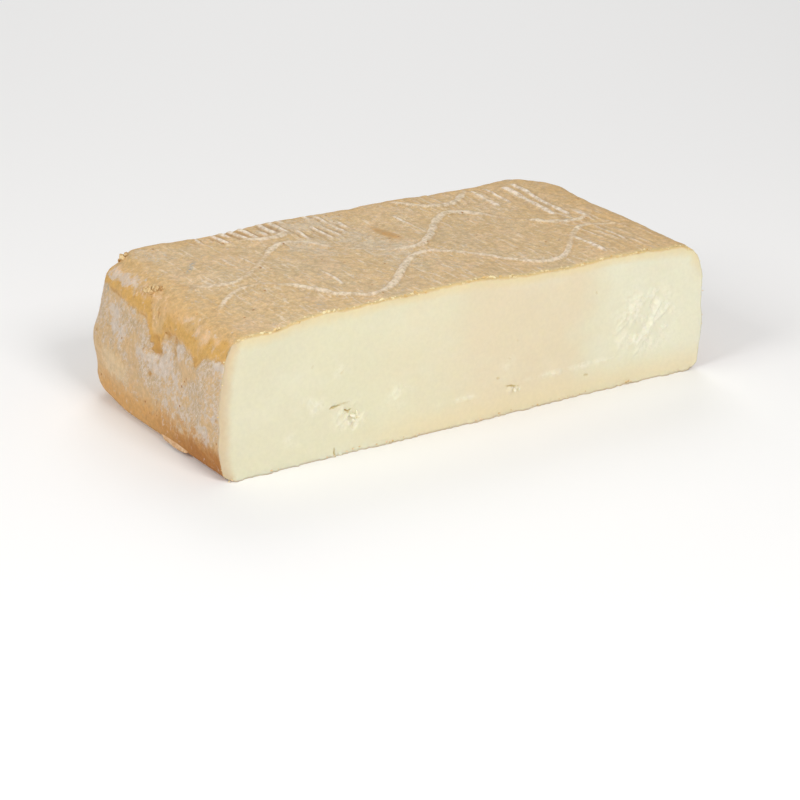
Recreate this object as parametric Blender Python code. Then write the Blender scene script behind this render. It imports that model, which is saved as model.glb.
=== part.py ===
# Half of a square washed-rind cheese, cut through the middle and lying on its flat base.
# The cut face looks along -Y, the rind goes round the two ends (-X and +X) and the back (+Y).
# Units are metres, +Z is up, and the origin is under the middle of the half, on the table.

import math

import bmesh
import bpy
import numpy as np
from mathutils import Vector, noise

# Driving dimensions
LENGTH = 0.190  # along the cut, from end to end at the widest height
DEPTH = 0.094  # from the cut face to the back of the rind, half of the whole square
HEIGHT = 0.0505  # at the crown of the top

# Rounded edges: reach of the roll along the table, then up or down the side
ROLL_LEFT = 0.0055  # top and bottom edges at the cut, left end
ROLL_RIGHT = 0.0085  # the same at the right end
ROLL_BACK = 0.0085  # along the back
BASE_BACK = (0.016, 0.042)  # along Y, from where to where the bottom edge turns into the back's
CORNER_LEFT = 0.0130  # plan radius of the back left corner
CORNER_RIGHT = 0.0200  # plan radius of the back right corner
TOP_AT_CUT = 0.0060
TOP_AT_BACK = 0.0085
BASE_AT_CUT = 0.0030
BASE_AT_BACK = 0.0090
ENDS_SPAN = 0.060  # over which the left end's rounding turns into the right end's, about the middle
BACK_FROM = -0.010  # Y at which the rounding at the cut starts to turn into that along the back
BACK_SPAN = 0.045  # over which it does

# How the pressed and salted block has settled
WIDEST_AT = 0.38  # share of the height at which the rind bulges furthest
BASE_TUCK = 0.0012  # how far the rind tucks in under the bulge, at the base
TOP_TUCK = 0.0042  # how far it leans in above the bulge, before the top edge rolls over
CROWN_X = -0.018  # where the top is highest
CROWN_SOFT = 0.015  # half width of its rounded crest
SLOPE_AT_CUT = 0.064  # fall of the top from the crest to the ends, at the cut
SLOPE_AT_BACK = 0.018  # the same at the back
BACK_SAG = 0.0010  # how much lower the crest lies at the back
# Broad rises and dips of the top: (along X, along Y, half length, half depth, height)
RISES = [
    (-0.080, 0.047, 0.034, 0.030, 0.0018),
    (0.085, -0.010, 0.022, 0.045, 0.0012),
    (0.060, -0.047, 0.016, 0.020, 0.0020),
    (0.018, -0.047, 0.014, 0.020, -0.0009),
    (-0.051, -0.047, 0.010, 0.020, -0.0008),
    (-0.080, -0.047, 0.012, 0.020, -0.0013),
]
STEP_IN = 0.0012  # how far the back left corner steps in above its bulge
STEP_HEIGHTS = (0.019, 0.033)  # where it starts to, and where it has
STEP_ALONG = (0.014, 0.034)  # along Y, where the step begins and where it is full
STEP_FACING = (0.0, -0.5)  # how far the skin faces the left end, for the same
SWELL = 0.0011  # height of the broad lumps left by hand turning
SWELL_SPAN = 0.034  # distance from one lump to the next
SWELL_FROM = 0.012  # height above the table at which they reach full size
SWELL_AT_CUT = 0.67  # how far round an edge's roll they reach full size in the cut's outline
CUT_WAVE = 0.0005  # how far the wire wandered in the cut face
CUT_WAVE_SPAN = 0.045

# Marks pressed into the top by the draining board: a net of waved bars
BAR_HEIGHT = 0.0009
BAR_HALF_WIDTH = 0.0018
NET_LENGTH = 0.068  # of one wave, along X
NET_ROWS = (-0.028, 0.003, 0.034)  # middle line of each bar, along Y
NET_SWING = 0.0125  # how far a bar swings to each side
NET_MARGIN = 0.013  # width of the plain border along the rind's edge
BAR_WANDER = 0.0022  # how far a bar strays from its wave
BAR_WANDER_SPAN = 0.040
BORDER_FADE = 0.6  # share of the margin in which there is no bar at all
WORN_SPAN = 0.028  # from one worn place to the next
WORN_LEFT = 0.55  # share of a bar's height that is left where it is most worn
WORN_FROM = (-0.6, 0.6)  # values of the noise where a bar is most worn, and where it is whole
TOP_FACING = (0.60, 0.95)  # how far up the skin faces where bars begin, and where they are full

# Hollows in the rind of the left end: (along Y, up, radius, depth)
END_HOLLOWS = [
    (-0.0080, 0.0340, 0.0070, 0.0010),
    (-0.0033, 0.0302, 0.0030, 0.0014),
    (-0.0132, 0.0360, 0.0026, 0.0010),
    (0.0001, 0.0206, 0.0018, 0.0010),
    (0.0120, 0.0260, 0.0120, 0.0008),
]
END_FACING = (-0.40, -0.70)  # how far the skin faces the left end where hollows begin, and are full

# Eyes in the cut paste: (along X, up, half width, half height, depth)
PASTE_EYES = [
    (-0.0506, 0.0155, 0.0046, 0.0010, 0.0024),
    (0.0146, 0.0092, 0.0022, 0.0009, 0.0018),
    (0.0462, 0.0069, 0.0016, 0.0008, 0.0014),
]
EYE_SIDES = 14
EYE_RINGS = 8

# Curds stuck to the rolled edge over the left end: (along X, along Y, width)
CURDS = [
    (-0.0848, 0.0374, 0.0028),
    (-0.0836, 0.0358, 0.0034),
    (-0.0822, 0.0348, 0.0024),
    (-0.0893, 0.0088, 0.0034),
    (-0.0887, 0.0060, 0.0044),
    (-0.0875, 0.0036, 0.0030),
]
CURD_FLAT = 0.75  # height of a curd against its width
CURD_RISE = 0.12  # height of its middle above the skin, against its width

# Torn lip of rind along the foot of the left end
LIP = (-0.0235, -0.0065)  # from Y, to Y
LIP_LUMPS = 8
LIP_WIDTH = (0.0036, 0.0054)  # of its lumps, at its two tips and in its middle
LIP_FLAT = 0.50
LIP_RISE = 0.30  # height of a lump's middle above the table, against its width
LIP_SUNK = 0.20  # how far its middle lies inside the rind, against its width

# Unevenness of the lumps
LUMP_SPAN = 0.45  # from one bump to the next, against the lump's width
LUMP_BUMP = 0.35  # height of a bump, against the lump's radius

# Fineness of the mesh
STEP = 0.0015  # between mesh lines before thinning
TRIANGLES = 8800  # of the body, after thinning
HAIR = 0.00006  # height below which a point belongs on the table
TINY = 1e-9
SHARP_EDGE = math.radians(35)  # edges bent further than this aren't shaded smooth

# Noise
NOISE_GAIN = 1.6  # brings the noise to between about -1 and 1
NOISE_SHIFT = Vector((7.31, 3.17, 5.23))  # from one seed's noise to the next

# Colour of the rind, standing for the whole
RIND_COLOUR = (0.76, 0.55, 0.31)
RIND_ROUGHNESS = 0.6


def clear_scene():
    for item in list(bpy.data.objects):
        bpy.data.objects.remove(item, do_unlink=True)


def smooth(t):
    t = np.clip(t, 0.0, 1.0)
    return t * t * (3.0 - 2.0 * t)


def mix(first, second, share):
    return first + (second - first) * share


def lumps(points, span, seed):
    """Soft noise between about -1 and 1, one value for each point."""
    shift = seed * NOISE_SHIFT
    return np.array([noise.noise(Vector(p) / span + shift) for p in points]) * NOISE_GAIN


def ramp(values, limits):
    """Rises smoothly from 0 at the first limit to 1 at the second."""
    first, second = limits
    return smooth((values - first) / (second - first))


def from_left_to_right(x, left, right):
    """A size that turns from the left end's into the right end's over the middle of the half."""
    return mix(left, right, ramp(x, (-ENDS_SPAN / 2, ENDS_SPAN / 2)))


def block_grid():
    """The surface of a plain block as a grid: its points and its four-sided faces."""
    sizes = np.array([LENGTH, DEPTH, HEIGHT])
    counts = np.maximum(2, np.round(sizes / STEP)).astype(int)
    index, points, faces = {}, [], []

    def corner(*place):
        if place not in index:
            index[place] = len(points)
            points.append(np.array(place) / counts * sizes)
        return index[place]

    for across in range(3):
        one, two = (across + 1) % 3, (across + 2) % 3
        for level in (0, counts[across]):
            for i in range(counts[one]):
                for j in range(counts[two]):
                    ring = []
                    for di, dj in ((0, 0), (1, 0), (1, 1), (0, 1)):
                        place = [0, 0, 0]
                        place[across], place[one], place[two] = level, i + di, j + dj
                        ring.append(corner(*place))
                    faces.append(ring if level else ring[::-1])
    return np.array(points) - np.array([LENGTH / 2, DEPTH / 2, 0.0]), faces


def plan_outline(x, y):
    """Where points lie against the outline of the whole square, seen from above.

    Returns how far inside each lies and the outward direction of the outline nearest to it.
    """
    corner = from_left_to_right(x, CORNER_LEFT, CORNER_RIGHT)
    past_x = np.abs(x) - (LENGTH / 2 - corner)
    past_y = (y + DEPTH / 2) - (DEPTH - corner)
    round_x, round_y = np.maximum(past_x, 0.0), np.maximum(past_y, 0.0)
    reach = np.hypot(round_x, round_y)
    inside = corner - np.where(reach > 0, reach, np.maximum(past_x, past_y))
    out_x = np.where(reach > 0, round_x / np.maximum(reach, TINY), past_x >= past_y)
    out_y = np.where(reach > 0, round_y / np.maximum(reach, TINY), past_y > past_x)
    return inside, out_x * np.sign(x), out_y


def round_in_plan(points):
    """Rounds the two upright corners at the back."""
    x, y, z = points.T
    corner = from_left_to_right(x, CORNER_LEFT, CORNER_RIGHT)
    past_x = np.maximum(np.abs(x) - (LENGTH / 2 - corner), 0.0)
    past_y = np.maximum(y - (DEPTH / 2 - corner), 0.0)
    pull = np.maximum(past_x, past_y) / np.maximum(np.hypot(past_x, past_y), TINY) - 1.0
    return np.column_stack([x + np.sign(x) * past_x * pull, y + past_y * pull, z])


def rounded(points):
    """Rounds the upright corners and rolls over the top and bottom edges of the rind.

    Returns the points, which way the skin faces there, and how far round a roll each lies.
    """
    x, y, z = round_in_plan(points).T
    inside, out_x, out_y = plan_outline(x, y)
    back = np.where(z > HEIGHT / 2, ramp(y, (BACK_FROM, BACK_FROM + BACK_SPAN)), ramp(y, BASE_BACK))
    at_cut = from_left_to_right(x, ROLL_LEFT, ROLL_RIGHT)
    across = mix(at_cut, ROLL_BACK, back)
    top = mix(TOP_AT_CUT, TOP_AT_BACK, back)
    base = mix(BASE_AT_CUT, BASE_AT_BACK, back)
    over_side = np.maximum(across - inside, 0.0)
    over_up = np.maximum(z - (HEIGHT - top), 0.0) - np.maximum(base - z, 0.0)
    upright = np.where(over_up > 0, top, base)
    share_side, share_up = over_side / across, over_up / upright
    largest = np.maximum(share_side, np.abs(share_up))
    pull = largest / np.maximum(np.hypot(share_side, share_up), TINY) - 1.0
    out = np.column_stack(
        [x + out_x * over_side * pull, y + out_y * over_side * pull, z + over_up * pull]
    )
    slant = share_side / across
    facing = np.column_stack([out_x * slant, out_y * slant, share_up / upright])
    facing /= np.maximum(np.linalg.norm(facing, axis=1), TINY)[:, None]
    return out, facing, largest


def settled(points):
    """Bulges the rind and lets the top fall towards the ends, with base and cut kept flat."""
    x, y, z = points.T
    widest = WIDEST_AT * HEIGHT
    below = BASE_TUCK * np.clip((widest - z) / widest, 0, 1) ** 2
    above = TOP_TUCK * np.clip((z - widest) / (HEIGHT - widest), 0, 1) ** 2
    front = -DEPTH / 2
    back = 1.0 - (1.0 - (y - front) / DEPTH) ** 2
    fall = np.hypot(x - CROWN_X, CROWN_SOFT) - CROWN_SOFT
    sag = mix(SLOPE_AT_CUT, SLOPE_AT_BACK, back) * fall + BACK_SAG * back
    for middle_x, middle_y, long, deep, height in RISES:
        sag = sag - height * np.exp(-(((x - middle_x) / long) ** 2) - ((y - middle_y) / deep) ** 2)
    return np.column_stack(
        [
            x * (1.0 - (below + above) / (LENGTH / 2)),
            front + (y - front) * (1.0 - (below + above) / DEPTH),
            z * (1.0 - sag / HEIGHT),
        ]
    )


def net_of_bars(points):
    """Height of the pressed bars over the top. Each bar swings against the two beside it."""
    x = points[:, 0] + BAR_WANDER * lumps(points, BAR_WANDER_SPAN, 3)
    y = points[:, 1] + BAR_WANDER * lumps(points, BAR_WANDER_SPAN, 4)
    height = np.zeros(len(points))
    for row, middle in enumerate(NET_ROWS):
        swing = NET_SWING * (-1) ** row
        turn = 2.0 * math.pi * x / NET_LENGTH
        away = y - middle - swing * np.cos(turn)
        steep = 2.0 * math.pi * swing / NET_LENGTH * np.sin(turn)
        away = away / np.sqrt(1.0 + steep**2)
        height = np.maximum(height, np.exp(-((away / BAR_HALF_WIDTH) ** 2)))
    from_ends = (LENGTH / 2 - np.abs(points[:, 0])) / NET_MARGIN
    from_back = (DEPTH / 2 - points[:, 1]) / NET_MARGIN
    border = smooth(from_ends - BORDER_FADE) * smooth(from_back - BORDER_FADE)
    worn = mix(WORN_LEFT, 1.0, ramp(lumps(points, WORN_SPAN, 5), WORN_FROM))
    return BAR_HEIGHT * height * border * worn


def back_left_step(points, facing):
    """How far the rind steps in above the bulge of the back left corner."""
    corner = ramp(facing[:, 0], STEP_FACING) * ramp(points[:, 1], STEP_ALONG)
    return STEP_IN * corner * ramp(points[:, 2], STEP_HEIGHTS)


def end_hollows(points):
    """Depth of the hollows in the rind of the left end."""
    depth = np.zeros(len(points))
    for y, z, radius, deep in END_HOLLOWS:
        away = np.hypot(points[:, 1] - y, points[:, 2] - z) / radius
        depth += deep * np.exp(-(away**2))
    return depth


def shaped(points):
    """The finished skin: rolled edges, bulge and sag, broad lumps, pressed bars and hollows."""
    plain, facing, rolled = rounded(points)
    front = points[:, 1] <= -DEPTH / 2 + TINY
    skin = settled(plain)
    change = SWELL * lumps(skin, SWELL_SPAN, 1) * smooth(skin[:, 2] / SWELL_FROM)
    change += net_of_bars(skin) * ramp(facing[:, 2], TOP_FACING)
    change -= end_hollows(skin) * ramp(facing[:, 0], END_FACING) + back_left_step(skin, facing)
    facing[front, 1] = 0.0
    change[front] *= smooth(rolled[front] / SWELL_AT_CUT)
    skin += facing * change[:, None]
    skin[front, 1] += CUT_WAVE * lumps(skin[front], CUT_WAVE_SPAN, 2)
    skin[:, 2] = np.maximum(skin[:, 2], 0.0)
    return skin


def colour_of(name, rgb, roughness):
    finish = bpy.data.materials.new(name)
    finish.use_nodes = True
    shader = finish.node_tree.nodes["Principled BSDF"]
    shader.inputs["Base Color"].default_value = (*rgb, 1.0)
    shader.inputs["Roughness"].default_value = roughness
    shader.inputs["Metallic"].default_value = 0.0
    return finish


def object_from(name, mesh):
    item = bpy.data.objects.new(name, mesh)
    bpy.context.scene.collection.objects.link(item)
    return item


def apply_modifiers(item):
    graph = bpy.context.evaluated_depsgraph_get()
    mesh = bpy.data.meshes.new_from_object(item.evaluated_get(graph))
    item.modifiers.clear()
    item.data = mesh


def flatten_base(mesh):
    """Puts what lies within a hair of the table exactly on it."""
    for vertex in mesh.vertices:
        if vertex.co.z < HAIR:
            vertex.co.z = 0.0


def make_body():
    points, faces = block_grid()
    mesh = bpy.data.meshes.new("cheese_half")
    mesh.from_pydata([tuple(p) for p in shaped(points)], [], faces)
    body = object_from("cheese_half", mesh)
    thin = body.modifiers.new("thin", "DECIMATE")
    thin.ratio = TRIANGLES / (2 * len(faces))
    apply_modifiers(body)
    flatten_base(body.data)
    return body


def top_skin(body, x, y):
    """Height of the top over a point of the plan."""
    found, place, _, _ = body.ray_cast(Vector((x, y, 2 * HEIGHT)), Vector((0, 0, -1)))
    return place.z if found else HEIGHT


def end_skin(body, y, z):
    """Where the rind of the left end lies, at a place along it and a height."""
    found, place, _, _ = body.ray_cast(Vector((-LENGTH, y, z)), Vector((1, 0, 0)))
    return place.x if found else -LENGTH / 2


def make_lump(name, place, size, seed, flat):
    """A small uneven lump of curd, wider than it is high."""
    bm = bmesh.new()
    bmesh.ops.create_icosphere(bm, subdivisions=2, radius=size / 2)
    for vertex in bm.verts:
        bump = noise.noise(vertex.co / (LUMP_SPAN * size) + seed * NOISE_SHIFT)
        vertex.co *= 1.0 + LUMP_BUMP * bump
        vertex.co.z *= flat
        vertex.co += place
    mesh = bpy.data.meshes.new(name)
    bm.to_mesh(mesh)
    bm.free()
    return object_from(name, mesh)


def make_curds(body):
    curds = []
    for number, (x, y, size) in enumerate(CURDS):
        place = Vector((x, y, top_skin(body, x, y) + CURD_RISE * size))
        curds.append(make_lump(f"curd_{number}", place, size, number + 1, CURD_FLAT))
    return curds


def make_lip(body):
    """A row of flat lumps along the foot of the left end, widest in its middle."""
    start, stop = LIP
    at_tips, in_middle = LIP_WIDTH
    row = []
    for number in range(LIP_LUMPS):
        share = number / (LIP_LUMPS - 1)
        y = mix(start, stop, share)
        size = mix(at_tips, in_middle, math.sin(math.pi * share))
        z = LIP_RISE * size
        place = Vector((end_skin(body, y, z) + LIP_SUNK * size, y, z))
        row.append(make_lump(f"lip_{number}", place, size, len(CURDS) + number + 1, LIP_FLAT))
    return row


def make_eye_cutters():
    cutters = []
    for number, (x, z, half_width, half_height, deep) in enumerate(PASTE_EYES):
        bm = bmesh.new()
        bmesh.ops.create_uvsphere(bm, u_segments=EYE_SIDES, v_segments=EYE_RINGS, radius=1.0)
        for vertex in bm.verts:
            vertex.co.x = x + vertex.co.x * half_width
            vertex.co.y = vertex.co.y * deep - DEPTH / 2
            vertex.co.z = z + vertex.co.z * half_height
        mesh = bpy.data.meshes.new(f"eye_{number}")
        bm.to_mesh(mesh)
        bm.free()
        cutters.append(object_from(f"eye_{number}", mesh))
    return cutters


def boolean(body, others, operation):
    """One Boolean of the body with a collection of objects, applied, and the objects then removed."""
    group = bpy.data.collections.new(operation.lower())
    bpy.context.scene.collection.children.link(group)
    for item in others:
        bpy.context.scene.collection.objects.unlink(item)
        group.objects.link(item)
    step = body.modifiers.new(operation.lower(), "BOOLEAN")
    step.operation = operation
    step.solver = "EXACT"
    step.operand_type = "COLLECTION"
    step.collection = group
    apply_modifiers(body)
    for item in others:
        bpy.data.objects.remove(item, do_unlink=True)
    bpy.data.collections.remove(group)


def centre_over_origin(mesh):
    """Moves the mesh so that the middle of its outer box stands over the origin."""
    corners = np.array([vertex.co[:] for vertex in mesh.vertices])
    middle = (corners.min(axis=0) + corners.max(axis=0)) / 2
    for vertex in mesh.vertices:
        vertex.co.x -= middle[0]
        vertex.co.y -= middle[1]


def main():
    clear_scene()
    body = make_body()
    bpy.context.view_layer.update()
    boolean(body, make_curds(body) + make_lip(body), "UNION")
    boolean(body, make_eye_cutters(), "DIFFERENCE")
    flatten_base(body.data)
    centre_over_origin(body.data)
    body.data.materials.clear()
    body.data.materials.append(colour_of("washed_rind", RIND_COLOUR, RIND_ROUGHNESS))
    body.data.shade_smooth()
    body.data.set_sharp_from_angle(angle=SHARP_EDGE)


main()
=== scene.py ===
import math

import bmesh
import bpy
import numpy as np
from mathutils import Matrix, Vector, noise


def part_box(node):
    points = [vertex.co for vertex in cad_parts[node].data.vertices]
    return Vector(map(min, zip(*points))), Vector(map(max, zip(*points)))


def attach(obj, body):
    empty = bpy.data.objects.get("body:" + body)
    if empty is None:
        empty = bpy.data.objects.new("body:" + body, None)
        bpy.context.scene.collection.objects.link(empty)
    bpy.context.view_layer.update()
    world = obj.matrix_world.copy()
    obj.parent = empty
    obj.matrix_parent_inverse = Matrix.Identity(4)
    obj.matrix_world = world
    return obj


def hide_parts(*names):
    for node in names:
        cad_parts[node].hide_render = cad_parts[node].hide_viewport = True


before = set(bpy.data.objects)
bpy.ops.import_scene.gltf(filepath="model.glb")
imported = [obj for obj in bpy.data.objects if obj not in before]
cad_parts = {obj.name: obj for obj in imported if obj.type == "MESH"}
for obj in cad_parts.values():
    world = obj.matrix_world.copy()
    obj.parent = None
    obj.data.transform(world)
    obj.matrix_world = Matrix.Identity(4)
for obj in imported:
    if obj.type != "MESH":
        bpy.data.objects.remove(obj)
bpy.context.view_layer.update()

# Half of a square washed-rind cheese: the cut face looks along -Y, rind round both ends and the back.
# Everything is in metres, in the frame's own axes, with the table at z = 0.

cadLow, cadHigh = (np.array(corner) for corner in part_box("cheese_half"))


# Small helpers shared by the pieces

def smoothStep(t):
    t = np.clip(t, 0.0, 1.0)
    return t * t * (3.0 - 2.0 * t)


def between(first, second, share):
    return first + (second - first) * share


def softNoise(points, span, seed):
    # smooth lumps between about -1 and 1, span apart
    shift = Vector((seed * 7.31, seed * 3.17, seed * 5.23))
    return np.array([noise.noise(Vector(p) / span + shift) for p in points]) * 1.6


def addObject(name, mesh, *materials):
    piece = bpy.data.objects.new(name, mesh)
    for material in materials:
        mesh.materials.append(material)
    bpy.context.scene.collection.objects.link(piece)
    return piece


def newMesh(name, points, lines=(), faces=()):
    mesh = bpy.data.meshes.new(name)
    mesh.from_pydata([tuple(p) for p in points], lines, faces)
    return mesh


def report(stage, piece=None):
    size = "" if piece is None else f": {len(piece.data.polygons)} faces"
    print(f"{stage}{size}")


def paint(red, green, blue):
    # a colour as seen on screen, 0 to 255, turned into the linear values that shaders use
    def linear(c):
        c /= 255.0
        return c / 12.92 if c <= 0.04045 else ((c + 0.055) / 1.055) ** 2.4
    return linear(red), linear(green), linear(blue)


# Node helpers

def plug(tree, value, socket):
    # a socket is linked, anything else becomes the socket's own value
    if isinstance(value, Value):
        value = value.socket
    if isinstance(value, bpy.types.NodeSocket):
        tree.links.new(value, socket)
    elif isinstance(value, tuple) and socket.type == "RGBA":
        socket.default_value = (*value, 1.0)
    else:
        socket.default_value = value


def addNode(tree, kind, inputs, **settings):
    # the outputs of a new node, whose inputs are filled by name or by number
    node = tree.nodes.new(kind)
    for name, value in settings.items():
        setattr(node, name, value)
    for name, value in inputs.items():
        plug(tree, value, node.inputs[name])
    return node.outputs


class Value:
    # an output in a shader tree that can be reckoned with
    def __init__(self, tree, socket):
        self.tree, self.socket = tree, socket

    def reckon(self, operation, first, second):
        made = addNode(self.tree, "ShaderNodeMath", {0: first, 1: second}, operation=operation)
        return Value(self.tree, made[0])

    def __add__(self, other):
        return self.reckon("ADD", self, other)

    def __sub__(self, other):
        return self.reckon("SUBTRACT", self, other)

    def __rsub__(self, other):
        return self.reckon("SUBTRACT", other, self)

    def __mul__(self, other):
        return self.reckon("MULTIPLY", self, other)

    def atLeast(self, other):
        return self.reckon("MAXIMUM", self, other)

    def ramp(self, low, high, toLow=0.0, toHigh=1.0):
        inputs = {"Value": self, "From Min": low, "From Max": high, "To Min": toLow, "To Max": toHigh}
        made = addNode(self.tree, "ShaderNodeMapRange", inputs, interpolation_type="SMOOTHSTEP")
        return Value(self.tree, made["Result"])


class Coat:
    # a material whose colour is laid on in layers, over a ground
    def __init__(self, name, colours, ground):
        self.material = bpy.data.materials.new(name)
        self.material.use_nodes = True
        self.tree = self.material.node_tree
        self.colours, self.colour, self.bumps = colours, colours[ground], None
        self.here = self.point()

    def make(self, kind, output, inputs, **settings):
        return Value(self.tree, addNode(self.tree, kind, inputs, **settings)[output])

    def point(self, scale=(1.0, 1.0, 1.0), offset=(0.0, 0.0, 0.0), lean=0.0):
        # the object's own coordinates, leant about X before they are stretched
        place = self.make("ShaderNodeTexCoord", "Object", {})
        place = self.make("ShaderNodeMapping", 0, {"Vector": place, "Rotation": (lean, 0.0, 0.0)})
        return self.make("ShaderNodeMapping", 0, {"Vector": place, "Scale": scale, "Location": offset})

    def axes(self):
        split = addNode(self.tree, "ShaderNodeSeparateXYZ", {"Vector": self.here})
        return [Value(self.tree, split[axis]) for axis in "XYZ"]

    def noise(self, perMetre, detail, roughness, distortion=0.0, **place):
        return self.make("ShaderNodeTexNoise", "Fac", {
            "Vector": self.point(**place) if place else self.here,
            "Scale": perMetre, "Detail": detail, "Roughness": roughness, "Distortion": distortion,
        })

    def fact(self, name):
        # a number that the mesh holds at each point
        return self.make("ShaderNodeAttribute", "Fac", {}, attribute_name=name)

    def mix(self, share, first, second, blend="MIX"):
        inputs = {"Factor": share, 6: first, 7: second}
        return self.make("ShaderNodeMix", 2, inputs, data_type="RGBA", blend_type=blend)

    def lay(self, share, layer):
        layer = self.colours[layer] if isinstance(layer, str) else layer
        self.colour = self.mix(share, self.colour, layer)

    def shadeBy(self, shade):
        tint = self.make("ShaderNodeCombineColor", "Color", {channel: shade for channel in range(3)})
        self.colour = self.mix(1.0, self.colour, tint, "MULTIPLY")

    def bump(self, height, distance, strength):
        # comes on top of the bumps that are there
        inputs = {"Height": height, "Distance": distance, "Strength": strength}
        if self.bumps:
            inputs["Normal"] = self.bumps
        self.bumps = self.make("ShaderNodeBump", "Normal", inputs)

    def finish(self, **inputs):
        sockets = self.tree.nodes["Principled BSDF"].inputs
        plug(self.tree, self.colour, sockets["Base Color"])
        if self.bumps:
            plug(self.tree, self.bumps, sockets["Normal"])
        for name, value in inputs.items():
            plug(self.tree, value, sockets[name.replace("_", " ")])
        return self.material


class NodeTree:
    # a new geometry tree, which makes one thing out of its carrier
    def __init__(self, name):
        self.tree = bpy.data.node_groups.new(name, "GeometryNodeTree")
        self.tree.interface.new_socket("Geometry", in_out="OUTPUT", socket_type="NodeSocketGeometry")
        self.tree.interface.new_socket("Geometry", in_out="INPUT", socket_type="NodeSocketGeometry")
        self.source = self.tree.nodes.new("NodeGroupInput")
        self.result = self.tree.nodes.new("NodeGroupOutput")
        self.carrier = self.source.outputs["Geometry"]
        self.inputs = {}

    def addInput(self, name, value):
        socket = self.tree.interface.new_socket(name, in_out="INPUT", socket_type="NodeSocketFloat")
        self.inputs[socket.identifier] = value
        return self.source.outputs[name]

    def node(self, kind, output=0, inputs=None, **settings):
        return addNode(self.tree, kind, inputs or {}, **settings)[output]

    def times(self, first, second):
        return self.node("ShaderNodeMath", 0, {0: first, 1: second}, operation="MULTIPLY")

    def random(self, low, high, seed):
        # a vector or a number at each point
        vector = isinstance(low, tuple)
        first, kind = (0, "FLOAT_VECTOR") if vector else (2, "FLOAT")
        inputs = {first: low, first + 1: high, "Seed": seed}
        return self.node("FunctionNodeRandomValue", 0 if vector else 1, inputs, data_type=kind)

    def held(self, name):
        # a number that the carrier holds at each point
        return self.node("GeometryNodeInputNamedAttribute", "Attribute", {"Name": name}, data_type="FLOAT")

    def ball(self, fineness, scale=None):
        inputs = {"Radius": 0.5, "Subdivisions": fineness}
        shape = self.node("GeometryNodeMeshIcoSphere", "Mesh", inputs)
        shape = self.node("GeometryNodeSetShadeSmooth", 0, {"Geometry": shape})
        return self.node("GeometryNodeTransform", 0, {"Geometry": shape, "Scale": scale}) if scale else shape

    def moved(self, geometry, vector, amount):
        offset = self.node("ShaderNodeVectorMath", 0, {0: vector, "Scale": amount}, operation="SCALE")
        return self.node("GeometryNodeSetPosition", 0, {"Geometry": geometry, "Offset": offset})

    def placed(self, **inputs):
        return self.node("GeometryNodeInstanceOnPoints", 0, inputs)

    def roughened(self, instances, amount, scale):
        # pushes the surface in and out along its normals by noise
        inputs = {"Vector": self.node("GeometryNodeInputPosition"), "Scale": scale, "Detail": 3.0}
        bumps = self.node("ShaderNodeTexNoise", "Fac", inputs, noise_dimensions="3D")
        bumps = self.node("ShaderNodeMath", 0, {0: bumps, 1: 0.5}, operation="SUBTRACT")
        real = self.node("GeometryNodeRealizeInstances", 0, {"Geometry": instances})
        return self.moved(real, self.node("GeometryNodeInputNormal"), self.times(bumps, amount))

    def finishWith(self, geometry, material):
        real = self.node("GeometryNodeRealizeInstances", 0, {"Geometry": geometry})
        coated = self.node("GeometryNodeSetMaterial", 0, {"Geometry": real, "Material": material})
        self.tree.links.new(coated, self.result.inputs[0])
        return self


def growPiece(name, carrier, build, material):
    # runs a geometry tree on the carrier mesh and keeps only what it makes, as a plain mesh
    base = addObject(name + "_carrier", carrier)
    modifier = base.modifiers.new("grow", "NODES")
    modifier.node_group = build.tree
    for identifier, value in build.inputs.items():
        modifier[identifier] = value
    graph = bpy.context.evaluated_depsgraph_get()
    mesh = bpy.data.meshes.new_from_object(base.evaluated_get(graph))
    base.modifiers.remove(modifier)
    bpy.data.objects.remove(base, do_unlink=True)
    mesh.name = name
    piece = addObject(name, mesh, *([] if mesh.materials else [material]))
    report(f"{name} grown", piece)
    return piece


# Camera, floor and light

cameraView = {
    "azimuth": math.radians(-34.11),   # from straight in front of the cut face
    "elevation": math.radians(21.98),
    "roll": math.radians(0.83),
    "distance": 0.8869,
    "sideways": 0.0014,                # the half stands a little off the centre of the picture
    "upwards": -0.0077,
    "lens": 117.0,                     # on a 36 mm wide sensor
}

studio = {
    "floorColour": (0.93, 0.925, 0.92),
    "floorSize": 6.0,
    "skyColour": (1.0, 1.0, 1.0),
    "skyStrength": 0.40,
    # name: (azimuth, elevation, distance, side of the soft box, watts, colour)
    "lamps": {
        "keyLamp": (-4.0, 40.0, 1.1, 0.36, 5.0, (1.0, 0.995, 0.985)),
        "leftLamp": (-82.0, 36.0, 1.1, 0.45, 4.4, (1.0, 0.99, 0.975)),
        "backLamp": (150.0, 42.0, 1.3, 0.60, 3.6, (1.0, 1.0, 1.0)),
    },
}


def directionFrom(azimuth, elevation):
    return Vector((
        math.sin(azimuth) * math.cos(elevation),
        -math.cos(azimuth) * math.cos(elevation),
        math.sin(elevation),
    ))


def placeCamera():
    back = directionFrom(cameraView["azimuth"], cameraView["elevation"])
    level = Vector((math.cos(cameraView["azimuth"]), math.sin(cameraView["azimuth"]), 0.0))
    upright = back.cross(level)
    cosine, sine = math.cos(cameraView["roll"]), math.sin(cameraView["roll"])
    right = level * cosine + upright * sine
    up = upright * cosine - level * sine
    spot = back * cameraView["distance"] + right * cameraView["sideways"] + up * cameraView["upwards"]
    camera = bpy.data.objects.new("camera", bpy.data.cameras.new("camera"))
    camera.data.lens = cameraView["lens"]
    camera.data.sensor_width = 36.0
    camera.data.clip_start = 0.01
    turn = Matrix((right, up, back)).transposed().to_4x4()
    camera.matrix_world = Matrix.Translation(spot) @ turn
    bpy.context.scene.collection.objects.link(camera)
    bpy.context.scene.camera = camera


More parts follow.
